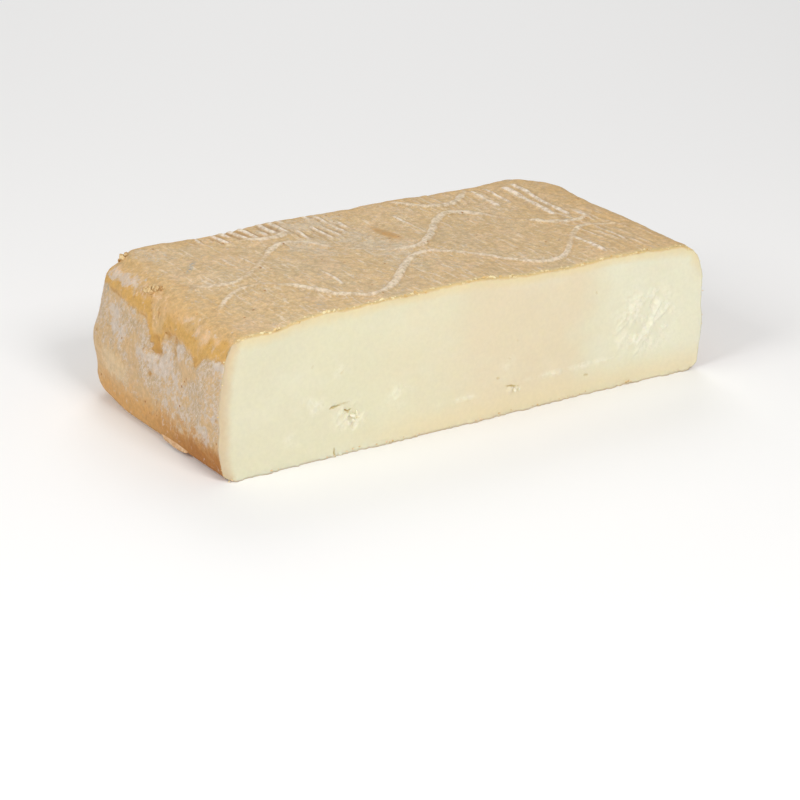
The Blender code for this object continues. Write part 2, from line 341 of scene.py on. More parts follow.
def makeStudio():
    side = studio["floorSize"] / 2
    corners = [(-side, -side, 0.0), (side, -side, 0.0), (side, side, 0.0), (-side, side, 0.0)]
    floorCoat = Coat("paleFloor", studio, "floorColour").finish(Roughness=0.9)
    floor = addObject("floor", newMesh("floor", corners, faces=[(0, 1, 2, 3)]), floorCoat)
    for name, (azimuth, elevation, distance, side, watts, colour) in studio["lamps"].items():
        lamp = bpy.data.lights.new(name, "AREA")
        lamp.shape = "SQUARE"
        lamp.size = side
        lamp.energy = watts
        lamp.color = colour
        holder = bpy.data.objects.new(name, lamp)
        away = directionFrom(math.radians(azimuth), math.radians(elevation))
        holder.location = away * distance
        holder.rotation_euler = away.to_track_quat("Z", "Y").to_euler()
        bpy.context.scene.collection.objects.link(holder)
    sky = bpy.data.worlds.new("softSky")
    sky.use_nodes = True
    sky.node_tree.nodes["Background"].inputs["Color"].default_value = (*studio["skyColour"], 1.0)
    sky.node_tree.nodes["Background"].inputs["Strength"].default_value = studio["skyStrength"]
    bpy.context.scene.world = sky
    bpy.context.scene.view_settings.view_transform = "Standard"


placeCamera()
makeStudio()
report("camera, floor and light placed")


# The half itself: its shape

block = {
    "length": 0.190,          # along the cut, at the widest height
    "depth": 0.094,           # from the cut face to the back
    "height": 0.0505,         # at the crown
    "gridSteps": (0.00060, 0.0010, 0.0008),   # finest along X, where the mat lines are close
}

edges = {
    "rollLeft": 0.0055,       # reach of the rolled edge at the cut, left end
    "rollRight": 0.0085,
    "rollBack": 0.0085,
    "cornerLeft": 0.0130,     # plan radius of the back left corner
    "cornerRight": 0.0200,
    "topAtCut": 0.0060,       # the same rolls measured up and down
    "topAtBack": 0.0085,
    "baseAtCut": 0.0030,
    "baseAtBack": 0.0090,
    "topTurn": (-0.010, 0.045),   # the top's roll at the cut turns into the back's: from Y, over
    "baseTurn": (0.016, 0.026),   # and the base's
    "endsSpan": 0.06,             # the left end's sizes turn into the right end's over this length
}

tiny = 1e-6                       # points nearer than this lie on a plane

settling = {
    "widestAt": 0.38,
    "baseTuck": 0.0012,
    "topTuck": 0.0042,
    "crownX": -0.018,
    "crownSoft": 0.015,
    "slopeAtCut": 0.064,
    "slopeAtBack": 0.018,
    "backSag": 0.0010,
    # broad rises and dips of the top: (X, Y, half length, half depth, height)
    "rises": [
        (-0.080, 0.047, 0.034, 0.030, 0.0018),
        (0.085, -0.010, 0.022, 0.045, 0.0012),
        (0.060, -0.047, 0.016, 0.020, 0.0020),
        (0.018, -0.047, 0.014, 0.020, -0.0009),
        (-0.051, -0.047, 0.010, 0.020, -0.0008),
        (-0.080, -0.047, 0.012, 0.020, -0.0013),
    ],
    "stepIn": 0.0012,         # how far the back left corner steps in above its bulge
    "stepFrom": 0.019,        # height at which it starts to
    "stepSpan": 0.014,        # over which it does
    "stepBehind": (0.014, 0.020),   # from Y, over
    "swell": 0.0011,
    "swellSpan": 0.034,
    "cutWave": 0.0005,
    "cutWaveSpan": 0.045,
}

pressedNet = {
    "height": 0.0009,
    "halfWidth": 0.0014,
    "length": 0.068,          # of one wave
    "rows": (-0.028, 0.003, 0.034),
    "swing": 0.0125,
    "margin": 0.013,
    "wander": 0.0022,
    "wanderSpan": 0.040,
    "ragged": 0.00035,        # unevenness of the bars' own sides
}

matLines = {
    "pitch": 0.0036,          # from one line of the mat to the next, where they lie close
    "height": 0.0008,
    # patches of close lines: (middle X, middle Y, half length, half depth, strength)
    "patches": [
        (-0.0390, 0.0325, 0.0200, 0.0070, 1.0),
        (-0.0165, 0.0265, 0.0125, 0.0115, 0.80),
        (0.0420, 0.0260, 0.0240, 0.0120, 0.35),
        (0.0720, -0.0200, 0.0160, 0.0230, 0.45),
        (-0.0560, -0.0220, 0.0220, 0.0150, 0.28),
        (0.0060, -0.0220, 0.0340, 0.0140, 0.24),
    ],
    # longer lines on their own: (X, from Y, to Y, half width, strength)
    "single": [
        (0.0532, 0.0140, 0.0320, 0.0010, 0.90),
        (0.0585, 0.0150, 0.0320, 0.0008, 0.80),
        (0.0655, -0.0010, 0.0300, 0.0012, 1.00),
        (0.0700, -0.0030, 0.0310, 0.0010, 0.95),
        (0.0745, -0.0120, 0.0010, 0.0011, 0.75),
        (0.0134, -0.0020, 0.0220, 0.0007, 0.75),
        (0.0246, 0.0020, 0.0090, 0.0006, 0.55),
        (0.0350, 0.0120, 0.0200, 0.0006, 0.55),
        (0.0550, -0.0430, -0.0250, 0.0010, 0.75),
        (0.0696, -0.0390, -0.0170, 0.0008, 0.60),
        (0.0415, -0.0170, -0.0110, 0.0006, 0.55),
        (-0.0535, -0.0050, 0.0120, 0.0006, 0.55),
        (-0.0600, 0.0030, 0.0150, 0.0006, 0.55),
        (-0.0386, -0.0280, -0.0120, 0.0007, 0.60),
    ],
}

rindSkin = {
    "grain": (0.0030, 0.00012),     # (span, height) of fine unevenness
    "dimples": (0.0085, 0.00024),
    "strands": 0.00012,             # height of the hairline strands on the ends
    "sideSwell": 0.00055,
    "sideSpan": 0.012,
    "pitRadius": 0.0030,            # hollows narrower than this are dark pits
    # hollows of the left end: (along Y, up, radius, depth)
    "hollows": [
        (-0.0080, 0.0340, 0.0070, 0.0007),
        (-0.0033, 0.0302, 0.0026, 0.0012),
        (-0.0027, 0.0338, 0.0016, 0.0006),
        (-0.0090, 0.0362, 0.0018, 0.0008),
        (-0.0132, 0.0360, 0.0021, 0.0010),
        (-0.0143, 0.0326, 0.0016, 0.0008),
        (0.0001, 0.0206, 0.0014, 0.0012),
        (-0.0300, 0.0352, 0.0013, 0.0006),
        (0.0120, 0.0260, 0.0120, 0.0008),
    ],
}

rolledSkin = {
    # the top's skin is rolled over the sides and ends in a lobed edge
    "edgeHeight": 0.0385,
    "wander": (0.0016, 0.017),      # (height, span)
    # the edge along the left end: Y, then height
    "leftEdge": [
        (-0.0480, -0.0430, -0.0355, -0.0325, -0.0305, -0.0285, -0.0225, -0.0126, -0.0066,
         -0.0059, -0.0045, -0.0015, 0.0006, 0.0036, 0.0171, 0.0300, 0.0480),
        (0.0378, 0.0392, 0.0378, 0.0355, 0.0330, 0.0358, 0.0369, 0.0374, 0.0370,
         0.0318, 0.0296, 0.0288, 0.0344, 0.0387, 0.0398, 0.0405, 0.0405),
    ],
    "leftWander": 0.0006,
    "plainFrom": 0.001,             # towards the back of the left end the edge is only a change of colour
    "proud": 0.00035,
    "undercut": 0.00065,
    "softness": 0.0011,
    "ochreReach": 0.0065,           # how far above the edge the skin stays ochre
}

bloomPlaces = {
    # lower border of the bloom on the left end: Y, then height
    "lowBorder": [
        (-0.0480, -0.0376, -0.0250, -0.0110, 0.0006, 0.0110, 0.0240, 0.0310, 0.0480),
        (0.0120, 0.0105, 0.0100, 0.0085, 0.0066, 0.0085, 0.0120, 0.0190, 0.0250),
    ],
    # patches of the left end with little bloom, the same way as the chalk
    "bare": [
        (0.0115, 0.0270, 0.0060, 0.0040, -0.4, 0.75),
        (0.0030, 0.0130, 0.0085, 0.0036, 0.2, 0.70),
        (-0.0195, 0.0185, 0.0062, 0.0017, -0.15, 0.90),
        (-0.0244, 0.0300, 0.0055, 0.0034, 0.0, 0.75),
        (-0.0175, 0.0088, 0.0090, 0.0026, 0.0, 0.90),
        (0.0200, 0.0185, 0.0080, 0.0020, 0.0, 0.60),
        (-0.0385, 0.0165, 0.0028, 0.0034, 0.5, 0.70),
        (0.0090, 0.0205, 0.0030, 0.0060, 0.4, 0.60),
    ],
    # thick lilac-white patches of the left end: (Y, height, half length, half height, rise along Y, strength)
    "chalk": [
        (0.0250, 0.0320, 0.0052, 0.0040, 0.9, 1.0),
        (0.0200, 0.0275, 0.0040, 0.0022, -0.5, 0.8),
        (0.0260, 0.0452, 0.0125, 0.0026, 0.0, 0.9),
        (0.0020, 0.0258, 0.0090, 0.0030, 0.1, 0.75),
        (-0.0090, 0.0270, 0.0065, 0.0052, 0.5, 0.95),
        (-0.0165, 0.0215, 0.0075, 0.0048, 0.5, 0.75),
        (-0.0100, 0.0130, 0.0045, 0.0050, -0.6, 0.55),
        (-0.0240, 0.0120, 0.0130, 0.0028, 0.0, 0.55),
        (-0.0370, 0.0125, 0.0040, 0.0028, 0.0, 0.85),
        (-0.0450, 0.0365, 0.0045, 0.0026, 0.0, 0.95),
        (-0.0190, 0.0335, 0.0060, 0.0022, 0.0, 0.6),
        (-0.0410, 0.0215, 0.0040, 0.0040, 0.8, 0.65),
    ],
    # smoother cream patches of the left end, the same way
    "cream": [
        (0.0235, 0.0165, 0.0110, 0.0048, 0.1, 1.0),
        (-0.0210, 0.0105, 0.0130, 0.0030, 0.0, 0.7),
    ],
    # powdery patches of the top: (X, Y, half length, half depth, turn, strength)
    "top": [
        (-0.0085, -0.0020, 0.0085, 0.0270, 0.0, 0.75),
        (-0.0270, 0.0090, 0.0105, 0.0110, 0.3, 0.75),
        (-0.0190, 0.0300, 0.0200, 0.0085, 0.0, 0.80),
        (0.0500, 0.0090, 0.0120, 0.0120, 0.0, 0.45),
        (0.0690, 0.0080, 0.0070, 0.0180, 0.0, 0.55),
        (-0.0770, 0.0290, 0.0060, 0.0080, 0.4, 0.60),
        (-0.0815, -0.0060, 0.0026, 0.0110, 0.1, 0.50),
        (0.0200, 0.0260, 0.0130, 0.0035, 0.1, 0.40),
        (0.0080, -0.0330, 0.0120, 0.0030, 0.0, 0.40),
    ],
    # a brown stain and blue-grey flecks on the top, the same way
    "stains": [(0.0017, 0.0090, 0.0019, 0.0085, 0.0, 1.0)],
    "flecks": [
        (-0.0720, 0.0115, 0.0065, 0.0009, 0.86, 1.0),
        (-0.0785, 0.0275, 0.0009, 0.0045, -0.2, 0.40),
        (-0.0640, 0.0190, 0.0045, 0.0007, 0.6, 0.40),
        (-0.0680, -0.0230, 0.0006, 0.0060, 0.1, 0.30),
    ],
}

pasteEyes = {
    # (along X, up, half width, half height, depth, rise to the right)
    "eyes": [
        (-0.0532, 0.0169, 0.0020, 0.00030, 0.0010, 0.12),
        (-0.0503, 0.0173, 0.0025, 0.00016, 0.0005, 0.10),
        (-0.0495, 0.0148, 0.0008, 0.00026, 0.0008, -0.40),
        (-0.0482, 0.0146, 0.0008, 0.00030, 0.0008, 0.40),
        (-0.0488, 0.0142, 0.0004, 0.00040, 0.0006, 0.0),
        (0.0146, 0.0098, 0.0024, 0.00030, 0.0008, -0.24),
        (0.0090, 0.0137, 0.0005, 0.00035, 0.0004, 0.0),
        (0.0462, 0.0069, 0.0011, 0.00045, 0.0005, 0.0),
        (0.0485, 0.0360, 0.0005, 0.00030, 0.0003, -0.5),
        (0.0166, 0.0254, 0.0004, 0.00030, 0.0002, 0.0),
        (0.0135, 0.0198, 0.0005, 0.00030, 0.0002, -0.6),
        (-0.0512, 0.0279, 0.0008, 0.00035, 0.0002, 0.5),
        (-0.0620, 0.0319, 0.0005, 0.00030, 0.0002, 0.6),
        (-0.0540, 0.0014, 0.0003, 0.00150, 0.0009, 0.0),
    ],
    "ragged": 0.38,
    # dragged and flaked paste: (middle X, middle height, half length, half height, relief)
    "tears": [
        (0.0700, 0.0225, 0.0145, 0.0150, 0.00075),
        (-0.0478, 0.0122, 0.0070, 0.0056, 0.00100),
        (-0.0620, 0.0190, 0.0065, 0.0036, 0.00040),
        (-0.0295, 0.0155, 0.0060, 0.0042, 0.00040),
        (-0.0685, 0.0090, 0.0050, 0.0030, 0.00035),
        (0.0400, 0.0107, 0.0215, 0.0013, 0.00060),
        (-0.0030, 0.0093, 0.0130, 0.0010, 0.00045),
        (-0.0512, 0.0279, 0.0036, 0.0030, 0.00025),
        (0.0158, 0.0082, 0.0030, 0.0018, 0.00080),
        (0.0128, 0.0185, 0.0035, 0.0028, 0.00020),
    ],
    "refined": 4,                   # so many of these patches get a finer grid
    "eyeRoom": 0.0012,              # and so does this much round each eye
    "foldLean": math.radians(50),   # the folds of dragged paste run this far up from the table
    "smear": (0.0140, 0.00034),
    "edgeWear": 0.0009,
    "edgeWearWidth": 0.0038,
    "lipReach": 0.0009,             # torn skin along the table
    "burrReach": 0.0003,            # and along the top
}


def blockGrid():
    # the six sides of a plain block as one closed grid of four-sided faces
    sizes = np.array([block["length"], block["depth"], block["height"]])
    counts = np.maximum(2, np.round(sizes / block["gridSteps"])).astype(int)
    quads = []
    for across in range(3):
        one, two = (across + 1) % 3, (across + 2) % 3
        first, second = np.meshgrid(np.arange(counts[one]), np.arange(counts[two]), indexing="ij")
        for level in (0, counts[across]):
            ring = []
            for stepOne, stepTwo in ((0, 0), (1, 0), (1, 1), (0, 1)):
                place = np.zeros((first.size, 3), int)
                place[:, across] = level
                place[:, one] = first.ravel() + stepOne
                place[:, two] = second.ravel() + stepTwo
                ring.append(place)
            quads.append(np.stack(ring if level else ring[::-1], axis=1))
    places, index = np.unique(np.concatenate(quads).reshape(-1, 3), axis=0, return_inverse=True)
    points = places / counts * sizes - np.array([sizes[0] / 2, sizes[1] / 2, 0.0])
    return points, index.reshape(-1, 4)


def inWindow(middle, box):
    # is a point of the cut face inside a window (middle X, middle height, half width, half height)?
    x, z, halfWidth, halfHeight = box
    return abs(middle.x - x) < halfWidth and abs(middle.z - z) < halfHeight


def refineCut(bm):
    # cuts the grid finer round the eyes and the torn patches of the cut face
    front = -block["depth"] / 2 + tiny
    room = pasteEyes["eyeRoom"]
    rounds = [
        [(x, z, long, high) for x, z, long, high, _ in pasteEyes["tears"][:pasteEyes["refined"]]],
        [(x, z, wide + room, high + room) for x, z, wide, high, *_ in pasteEyes["eyes"]],
    ]
    for windows in rounds:
        chosen = set()
        for face in bm.faces:
            if face.normal.y < -0.9 and all(corner.co.y < front for corner in face.verts):
                middle = face.calc_center_median()
                if any(inWindow(middle, box) for box in windows):
                    chosen.update(face.edges)
        bmesh.ops.subdivide_edges(bm, edges=list(chosen), cuts=1, use_grid_fill=True)


def simplifyBase(bm):
    # the flat underside needs no grid, so it becomes one face, cut into triangles
    flat = [face for face in bm.faces if all(corner.co.z < 1e-7 for corner in face.verts)]
    joined = bmesh.ops.dissolve_faces(bm, faces=flat, use_verts=False)["region"]
    bmesh.ops.triangulate(bm, faces=joined)


def leftToRight(x, left, right):
    return between(edges[left], edges[right], smoothStep(x / edges["endsSpan"] + 0.5))


def planOutline(x, y):
    # how far inside the whole square's outline points lie, and the outward direction there
    corner = leftToRight(x, "cornerLeft", "cornerRight")
    pastX = np.abs(x) - (block["length"] / 2 - corner)
    pastY = (y + block["depth"] / 2) - (block["depth"] - corner)
    roundX, roundY = np.maximum(pastX, 0.0), np.maximum(pastY, 0.0)
    reach = np.hypot(roundX, roundY)
    inside = corner - np.where(reach > 0, reach, np.maximum(pastX, pastY))
    outX = np.where(reach > 0, roundX / np.maximum(reach, 1e-9), pastX >= pastY)
    outY = np.where(reach > 0, roundY / np.maximum(reach, 1e-9), pastY > pastX)
    return inside, outX * np.sign(x), outY


def roundInPlan(points):
    x, y, z = points.T
    corner = leftToRight(x, "cornerLeft", "cornerRight")
    pastX = np.maximum(np.abs(x) - (block["length"] / 2 - corner), 0.0)
    pastY = np.maximum(y - (block["depth"] / 2 - corner), 0.0)
    pull = np.maximum(pastX, pastY) / np.maximum(np.hypot(pastX, pastY), 1e-9) - 1.0
    return np.column_stack([x + np.sign(x) * pastX * pull, y + pastY * pull, z])


def rollEdges(points):
    # rounded block, the way its skin faces, and how far round a rolled edge each point lies
    x, y, z = roundInPlan(points).T
    inside, outX, outY = planOutline(x, y)
    turns = (smoothStep((y - start) / span) for start, span in (edges["topTurn"], edges["baseTurn"]))
    back = np.where(z > block["height"] / 2, *turns)
    across = between(leftToRight(x, "rollLeft", "rollRight"), edges["rollBack"], back)
    top = between(edges["topAtCut"], edges["topAtBack"], back)
    base = between(edges["baseAtCut"], edges["baseAtBack"], back)
    overSide = np.maximum(across - inside, 0.0)
    overUp = np.maximum(z - (block["height"] - top), 0.0) - np.maximum(base - z, 0.0)
    upright = np.where(overUp > 0, top, base)
    shareSide, shareUp = overSide / across, overUp / upright
    largest = np.maximum(shareSide, np.abs(shareUp))
    pull = largest / np.maximum(np.hypot(shareSide, shareUp), 1e-9) - 1.0
    rolled = np.column_stack([x + outX * overSide * pull, y + outY * overSide * pull, z + overUp * pull])
    slant = shareSide / across
    facing = np.column_stack([outX * slant, outY * slant, shareUp / upright])
    facing /= np.maximum(np.linalg.norm(facing, axis=1), 1e-9)[:, None]
    return rolled, facing, largest


def settle(points):
    x, y, z = points.T
    height, front = block["height"], -block["depth"] / 2
    widest = settling["widestAt"] * height
    tuck = settling["baseTuck"] * np.clip((widest - z) / widest, 0, 1) ** 2
    tuck = tuck + settling["topTuck"] * np.clip((z - widest) / (height - widest), 0, 1) ** 2
    back = 1.0 - (1.0 - (y - front) / block["depth"]) ** 2
    fall = np.hypot(x - settling["crownX"], settling["crownSoft"]) - settling["crownSoft"]
    sag = between(settling["slopeAtCut"], settling["slopeAtBack"], back) * fall + settling["backSag"] * back
    for middleX, middleY, long, deep, rise in settling["rises"]:
        sag = sag - rise * np.exp(-(((x - middleX) / long) ** 2) - ((y - middleY) / deep) ** 2)
    return np.column_stack([
        x * (1.0 - tuck / (block["length"] / 2)),
        front + (y - front) * (1.0 - tuck / block["depth"]),
        z * (1.0 - sag / height),
    ])


def backLeftStep(points, facing):
    # how far the rind steps in above the bulge of the back left corner
    start, span = settling["stepBehind"]
    corner = smoothStep(-facing[:, 0] / 0.5) * smoothStep((points[:, 1] - start) / span)
    raised = smoothStep((points[:, 2] - settling["stepFrom"]) / settling["stepSpan"])
    return settling["stepIn"] * corner * raised


def netShare(points):
    # 0 to 1 over the waved bars that the draining board pressed into the top
    net = pressedNet
    x = points[:, 0] + net["wander"] * softNoise(points, net["wanderSpan"], 3)
    y = points[:, 1] + net["wander"] * softNoise(points, net["wanderSpan"], 4)
    rough = softNoise(points, 0.0034, 9)
    share = np.zeros(len(points))
    for row, middle in enumerate(net["rows"]):
        swing = net["swing"] * (-1) ** row
        turn = 2.0 * math.pi * x / net["length"]
        away = y - middle - swing * np.cos(turn)
        away = away / np.hypot(1.0, 2.0 * math.pi * swing / net["length"] * np.sin(turn))
        away = away + net["ragged"] * rough
        share = np.maximum(share, np.exp(-(np.abs(away / net["halfWidth"]) ** 3)))
    fromEnds = (block["length"] / 2 - np.abs(points[:, 0])) / net["margin"]
    fromBack = (block["depth"] / 2 - points[:, 1]) / net["margin"]
    worn = 0.40 + 0.60 * smoothStep(0.6 + 0.9 * softNoise(points, 0.024, 5))
    worn *= 0.85 + 0.15 * softNoise(points, 0.0055, 7)
    return share * smoothStep(fromEnds - 0.6) * smoothStep(fromBack - 0.6) * worn


def matShare(points):
    # the straight lines that the mat pressed in, front to back: crests, gaps, and where they lie close
    x, y = points[:, 0], points[:, 1]
    reach = np.zeros(len(points))
    for middleX, middleY, halfLong, halfDeep, strength in matLines["patches"]:
        patch = smoothStep(2.6 - np.hypot((x - middleX) / halfLong, (y - middleY) / halfDeep) * 2.0)
        reach = np.maximum(reach, patch * strength)
    inland = np.minimum(block["length"] / 2 - np.abs(x), block["depth"] / 2 - y)
    reach *= smoothStep((inland - 0.0085) / 0.003)
    slow = softNoise(points, 0.016, 6)
    lineX = x + 0.10 * y + 0.0009 * slow + 0.00025 * softNoise(points, 0.0035, 10)
    ridge = 0.5 + 0.5 * np.cos(2.0 * math.pi * lineX / matLines["pitch"])
    number = np.floor(lineX / matLines["pitch"] + 0.5)
    along = np.column_stack([number * 3.7, y / 0.012, np.full(len(x), 0.5)])
    broken = smoothStep(0.74 + 0.9 * softNoise(along, 1.0, 8))
    close = smoothStep((reach - 0.45) / 0.3)
    reach *= broken * (0.85 + 0.15 * slow)
    crests, gaps = reach * ridge ** 1.6, reach * (1.0 - ridge) ** 1.6
    ragged = 0.5 + 0.5 * smoothStep(0.6 + 0.9 * softNoise(points, 0.0035, 11))
    for lineAt, start, stop, halfWidth, strength in matLines["single"]:
        away = np.abs(x - lineAt - 0.0005 * slow) / halfWidth
        within = smoothStep((y - start) / 0.004 + 0.5) * smoothStep((stop - y) / 0.004 + 0.5)
        crests = np.maximum(crests, strength * within * ragged * np.exp(-(away ** 2)))
        gaps = np.maximum(gaps, 0.35 * strength * within * np.exp(-((away - 2.2) ** 2)))
    return crests, gaps, close


def skinRelief(points, facing):
    # fine relief of the rind, outwards, with the dark hollows returned on their own
    grainSpan, grainHigh = rindSkin["grain"]
    dimpleSpan, dimpleHigh = rindSkin["dimples"]
    relief = grainHigh * softNoise(points, grainSpan, 21)
    relief += dimpleHigh * softNoise(points, dimpleSpan, 22)
    side = smoothStep((0.75 - np.abs(facing[:, 2])) / 0.3)
    stretched = points * np.array([1.0, 1.0, 0.16])
    relief += rindSkin["strands"] * side * softNoise(stretched, 0.0011, 23)
    left = smoothStep((-0.4 - facing[:, 0]) / 0.3)
    hollow, pit = np.zeros(len(points)), np.zeros(len(points))
    ragged = 0.22 * softNoise(points, 0.0022, 28)
    for y, z, radius, deep in rindSkin["hollows"]:
        away = np.hypot(points[:, 1] - y, points[:, 2] - z) / radius + ragged
        dent = np.exp(-(away ** 2))
        hollow += deep * dent
        if radius < rindSkin["pitRadius"]:
            pit = np.maximum(pit, dent)
    return relief, hollow * left, pit * left


def rolledSkinShare(points, facing):
    # how far above the lobed edge of the rolled skin points lie, and the relief of that edge
    high, span = rolledSkin["wander"]
    flat = points * np.array([1.0, 1.0, 0.0])
    edge = rolledSkin["edgeHeight"] + high * softNoise(flat, span, 26)
    leftEdge = np.interp(points[:, 1], *rolledSkin["leftEdge"])
    leftEdge += rolledSkin["leftWander"] * softNoise(points, 0.0030, 29)
    edge = between(edge, leftEdge, smoothStep((-0.2 - facing[:, 0]) / 0.4))
    over = points[:, 2] - edge
    above = over / rolledSkin["softness"]
    side = smoothStep((0.80 - np.abs(facing[:, 2])) / 0.3)
    strength = 0.25 + 0.75 * smoothStep(0.45 + 0.9 * softNoise(flat, 0.012, 25))
    towardsBack = smoothStep((points[:, 1] - rolledSkin["plainFrom"]) / 0.010)
    strength *= 1.0 - 0.9 * towardsBack * smoothStep(-facing[:, 0] / 0.4)
    lip = rolledSkin["proud"] * np.exp(-((above - 1.0) ** 2))
    lip -= rolledSkin["undercut"] * np.exp(-((above + 0.7) ** 2))
    return over, lip * side * strength


def cutRelief(points):
    # dents, eyes and torn paste of the cut face: how far each point lies behind the wire's sweep
    x, z = points[:, 0], points[:, 2]
    ragged = pasteEyes["ragged"]
    wobbleX, wobbleZ = softNoise(points, 0.0011, 31), softNoise(points, 0.0009, 32)
    depth = np.zeros(len(points))
    inEye = np.zeros(len(points))
    for eyeX, eyeZ, wide, high, deep, rise in pasteEyes["eyes"]:
        across, up = x - eyeX, z - eyeZ - rise * (x - eyeX)
        away = np.hypot(across / wide + ragged * wobbleX, up / high + ragged * wobbleZ)
        bowl = np.sqrt(np.clip(1.0 - away ** 2, 0.0, 1.0))
        depth = np.maximum(depth, deep * bowl)
        inEye = np.maximum(inEye, smoothStep((1.25 - away) / 0.5) * min(1.0, deep / 0.0008))
    torn = np.zeros(len(points))
    cosine, sine = math.cos(pasteEyes["foldLean"]), math.sin(pasteEyes["foldLean"])
    along, athwart = x * cosine + z * sine, z * cosine - x * sine
    bend = 0.0016 * softNoise(points, 0.0075, 36)
    folded = np.column_stack([along * 0.30, np.zeros(len(points)), athwart + bend])
    folds = 1.0 - 2.2 * np.abs(softNoise(folded, 0.0030, 33))
    flakes = 0.75 * folds + 0.35 * softNoise(points, 0.0012, 34)
    patchy = smoothStep(0.70 + 0.8 * softNoise(points, 0.0050, 37))
    for middleX, middleZ, long, high, relief in pasteEyes["tears"]:
        inside = smoothStep(1.25 - np.hypot((x - middleX) / long, (z - middleZ) / high)) * patchy
        depth -= relief * inside * flakes
        torn = np.maximum(torn, inside * min(1.0, 0.25 + relief / 0.0014))
    smearSpan, smearHigh = pasteEyes["smear"]
    swept = np.column_stack([along * 0.55, np.zeros(len(points)), athwart])
    depth += smearHigh * softNoise(swept, smearSpan, 35)
    return depth, inEye, torn


def patchesOver(first, second, patches, soft=0.55):
    # the strongest of several soft oval patches at each point; each may lean or turn
    share = np.zeros(len(first))
    for middleFirst, middleSecond, halfFirst, halfSecond, lean, strength in patches:
        right, up = first - middleFirst, second - middleSecond
        along = right * math.cos(lean) + up * math.sin(lean)
        across = up * math.cos(lean) - right * math.sin(lean)
        away = np.hypot(along / halfFirst, across / halfSecond)
        share = np.maximum(share, strength * smoothStep((1.0 + soft / 2 - away) / soft))
    return share


def bloomShare(points, facing, over):
    # white mould: its share everywhere, the thick lilac-white patches and the smooth cream ones
    x, y, z = points.T
    side = smoothStep((0.72 - np.abs(facing[:, 2])) / 0.45)
    left = smoothStep(-facing[:, 0] * 2.0 - 0.4)
    ragged = np.column_stack([softNoise(points, 0.0042, seed) for seed in (46, 47)]) * 0.0013
    lowBorder = between(0.012, np.interp(y, *bloomPlaces["lowBorder"]), left)
    belowRoll = smoothStep(0.5 - over / 0.0022)
    band = smoothStep((z - lowBorder + 0.003) / 0.009) * between(0.08, 1.0, belowRoll)
    clouds = softNoise(points, 0.020, 41) + 0.55 * softNoise(points, 0.0075, 42)
    ends = side * band * smoothStep(between(0.45, 0.85, left) + 0.50 * clouds) * between(1.0, 0.85, left)
    bare = left * patchesOver(y + ragged[:, 0], z + ragged[:, 1], bloomPlaces["bare"], 1.0)
    ends *= 1.0 - bare
    chalk = left * patchesOver(y + ragged[:, 0], z + ragged[:, 1], bloomPlaces["chalk"], 1.3)
    chalk *= np.where(z > 0.043, 1.0, 0.25 + 0.75 * belowRoll)
    cream = left * patchesOver(y + ragged[:, 0], z + ragged[:, 1], bloomPlaces["cream"], 1.0)
    onTop = smoothStep((facing[:, 2] - 0.7) / 0.2)
    top = patchesOver(x + 2.0 * ragged[:, 0], y + 2.0 * ragged[:, 1], bloomPlaces["top"], 1.0)
    clouds = softNoise(points, 0.017, 43) + 0.6 * softNoise(points, 0.006, 44)
    top = onTop * np.maximum(top, 0.30 * smoothStep(0.40 + 0.55 * clouds))
    return np.maximum(ends, top), chalk, cream * (1.0 - chalk)


def softEdge(points):
    # how far the cut's edge is worn back along the left end, where the rind turns softly into paste
    fromEnd = block["length"] / 2 + points[:, 0]
    return pasteEyes["edgeWear"] * smoothStep(1.0 - fromEnd / pasteEyes["edgeWearWidth"]) ** 2


def rimDistance(points):
    # on the cut face, how far each point of the plain block lies from the rind
    x, z = points[:, 0], points[:, 2]
    return np.minimum(block["length"] / 2 - np.abs(x), np.minimum(block["height"] - z, z))


def raggedRim(points, plain):
    # skin that the wire dragged out of the cut: a torn lip along the table, a low burr along the top
    flat = points * np.array([1.0, 0.0, 0.0])
    tatters = softNoise(flat, 0.0042, 51) + 0.7 * softNoise(flat, 0.0015, 52)
    lip = pasteEyes["lipReach"] * smoothStep(0.42 + 0.75 * tatters) * smoothStep(1.0 - plain[:, 2] / 0.0014)
    fromTop = block["height"] - plain[:, 2]
    burr = pasteEyes["burrReach"] * smoothStep(0.30 + 0.8 * tatters) * smoothStep(1.0 - fromTop / 0.0014)
    return lip + burr


def rimShare(points):
    # how much of the rind's colour shows round the cut face: a clear line on top, faint at the ends
    x, z = points[:, 0], points[:, 2]
    top = smoothStep(1.0 - (block["height"] - z) / 0.0017)
    ends = 0.12 * smoothStep(1.0 - (block["length"] / 2 - np.abs(x)) / 0.0014)
    base = 0.80 * smoothStep(1.0 - z / 0.0009)
    return np.maximum(top, np.maximum(ends, base))


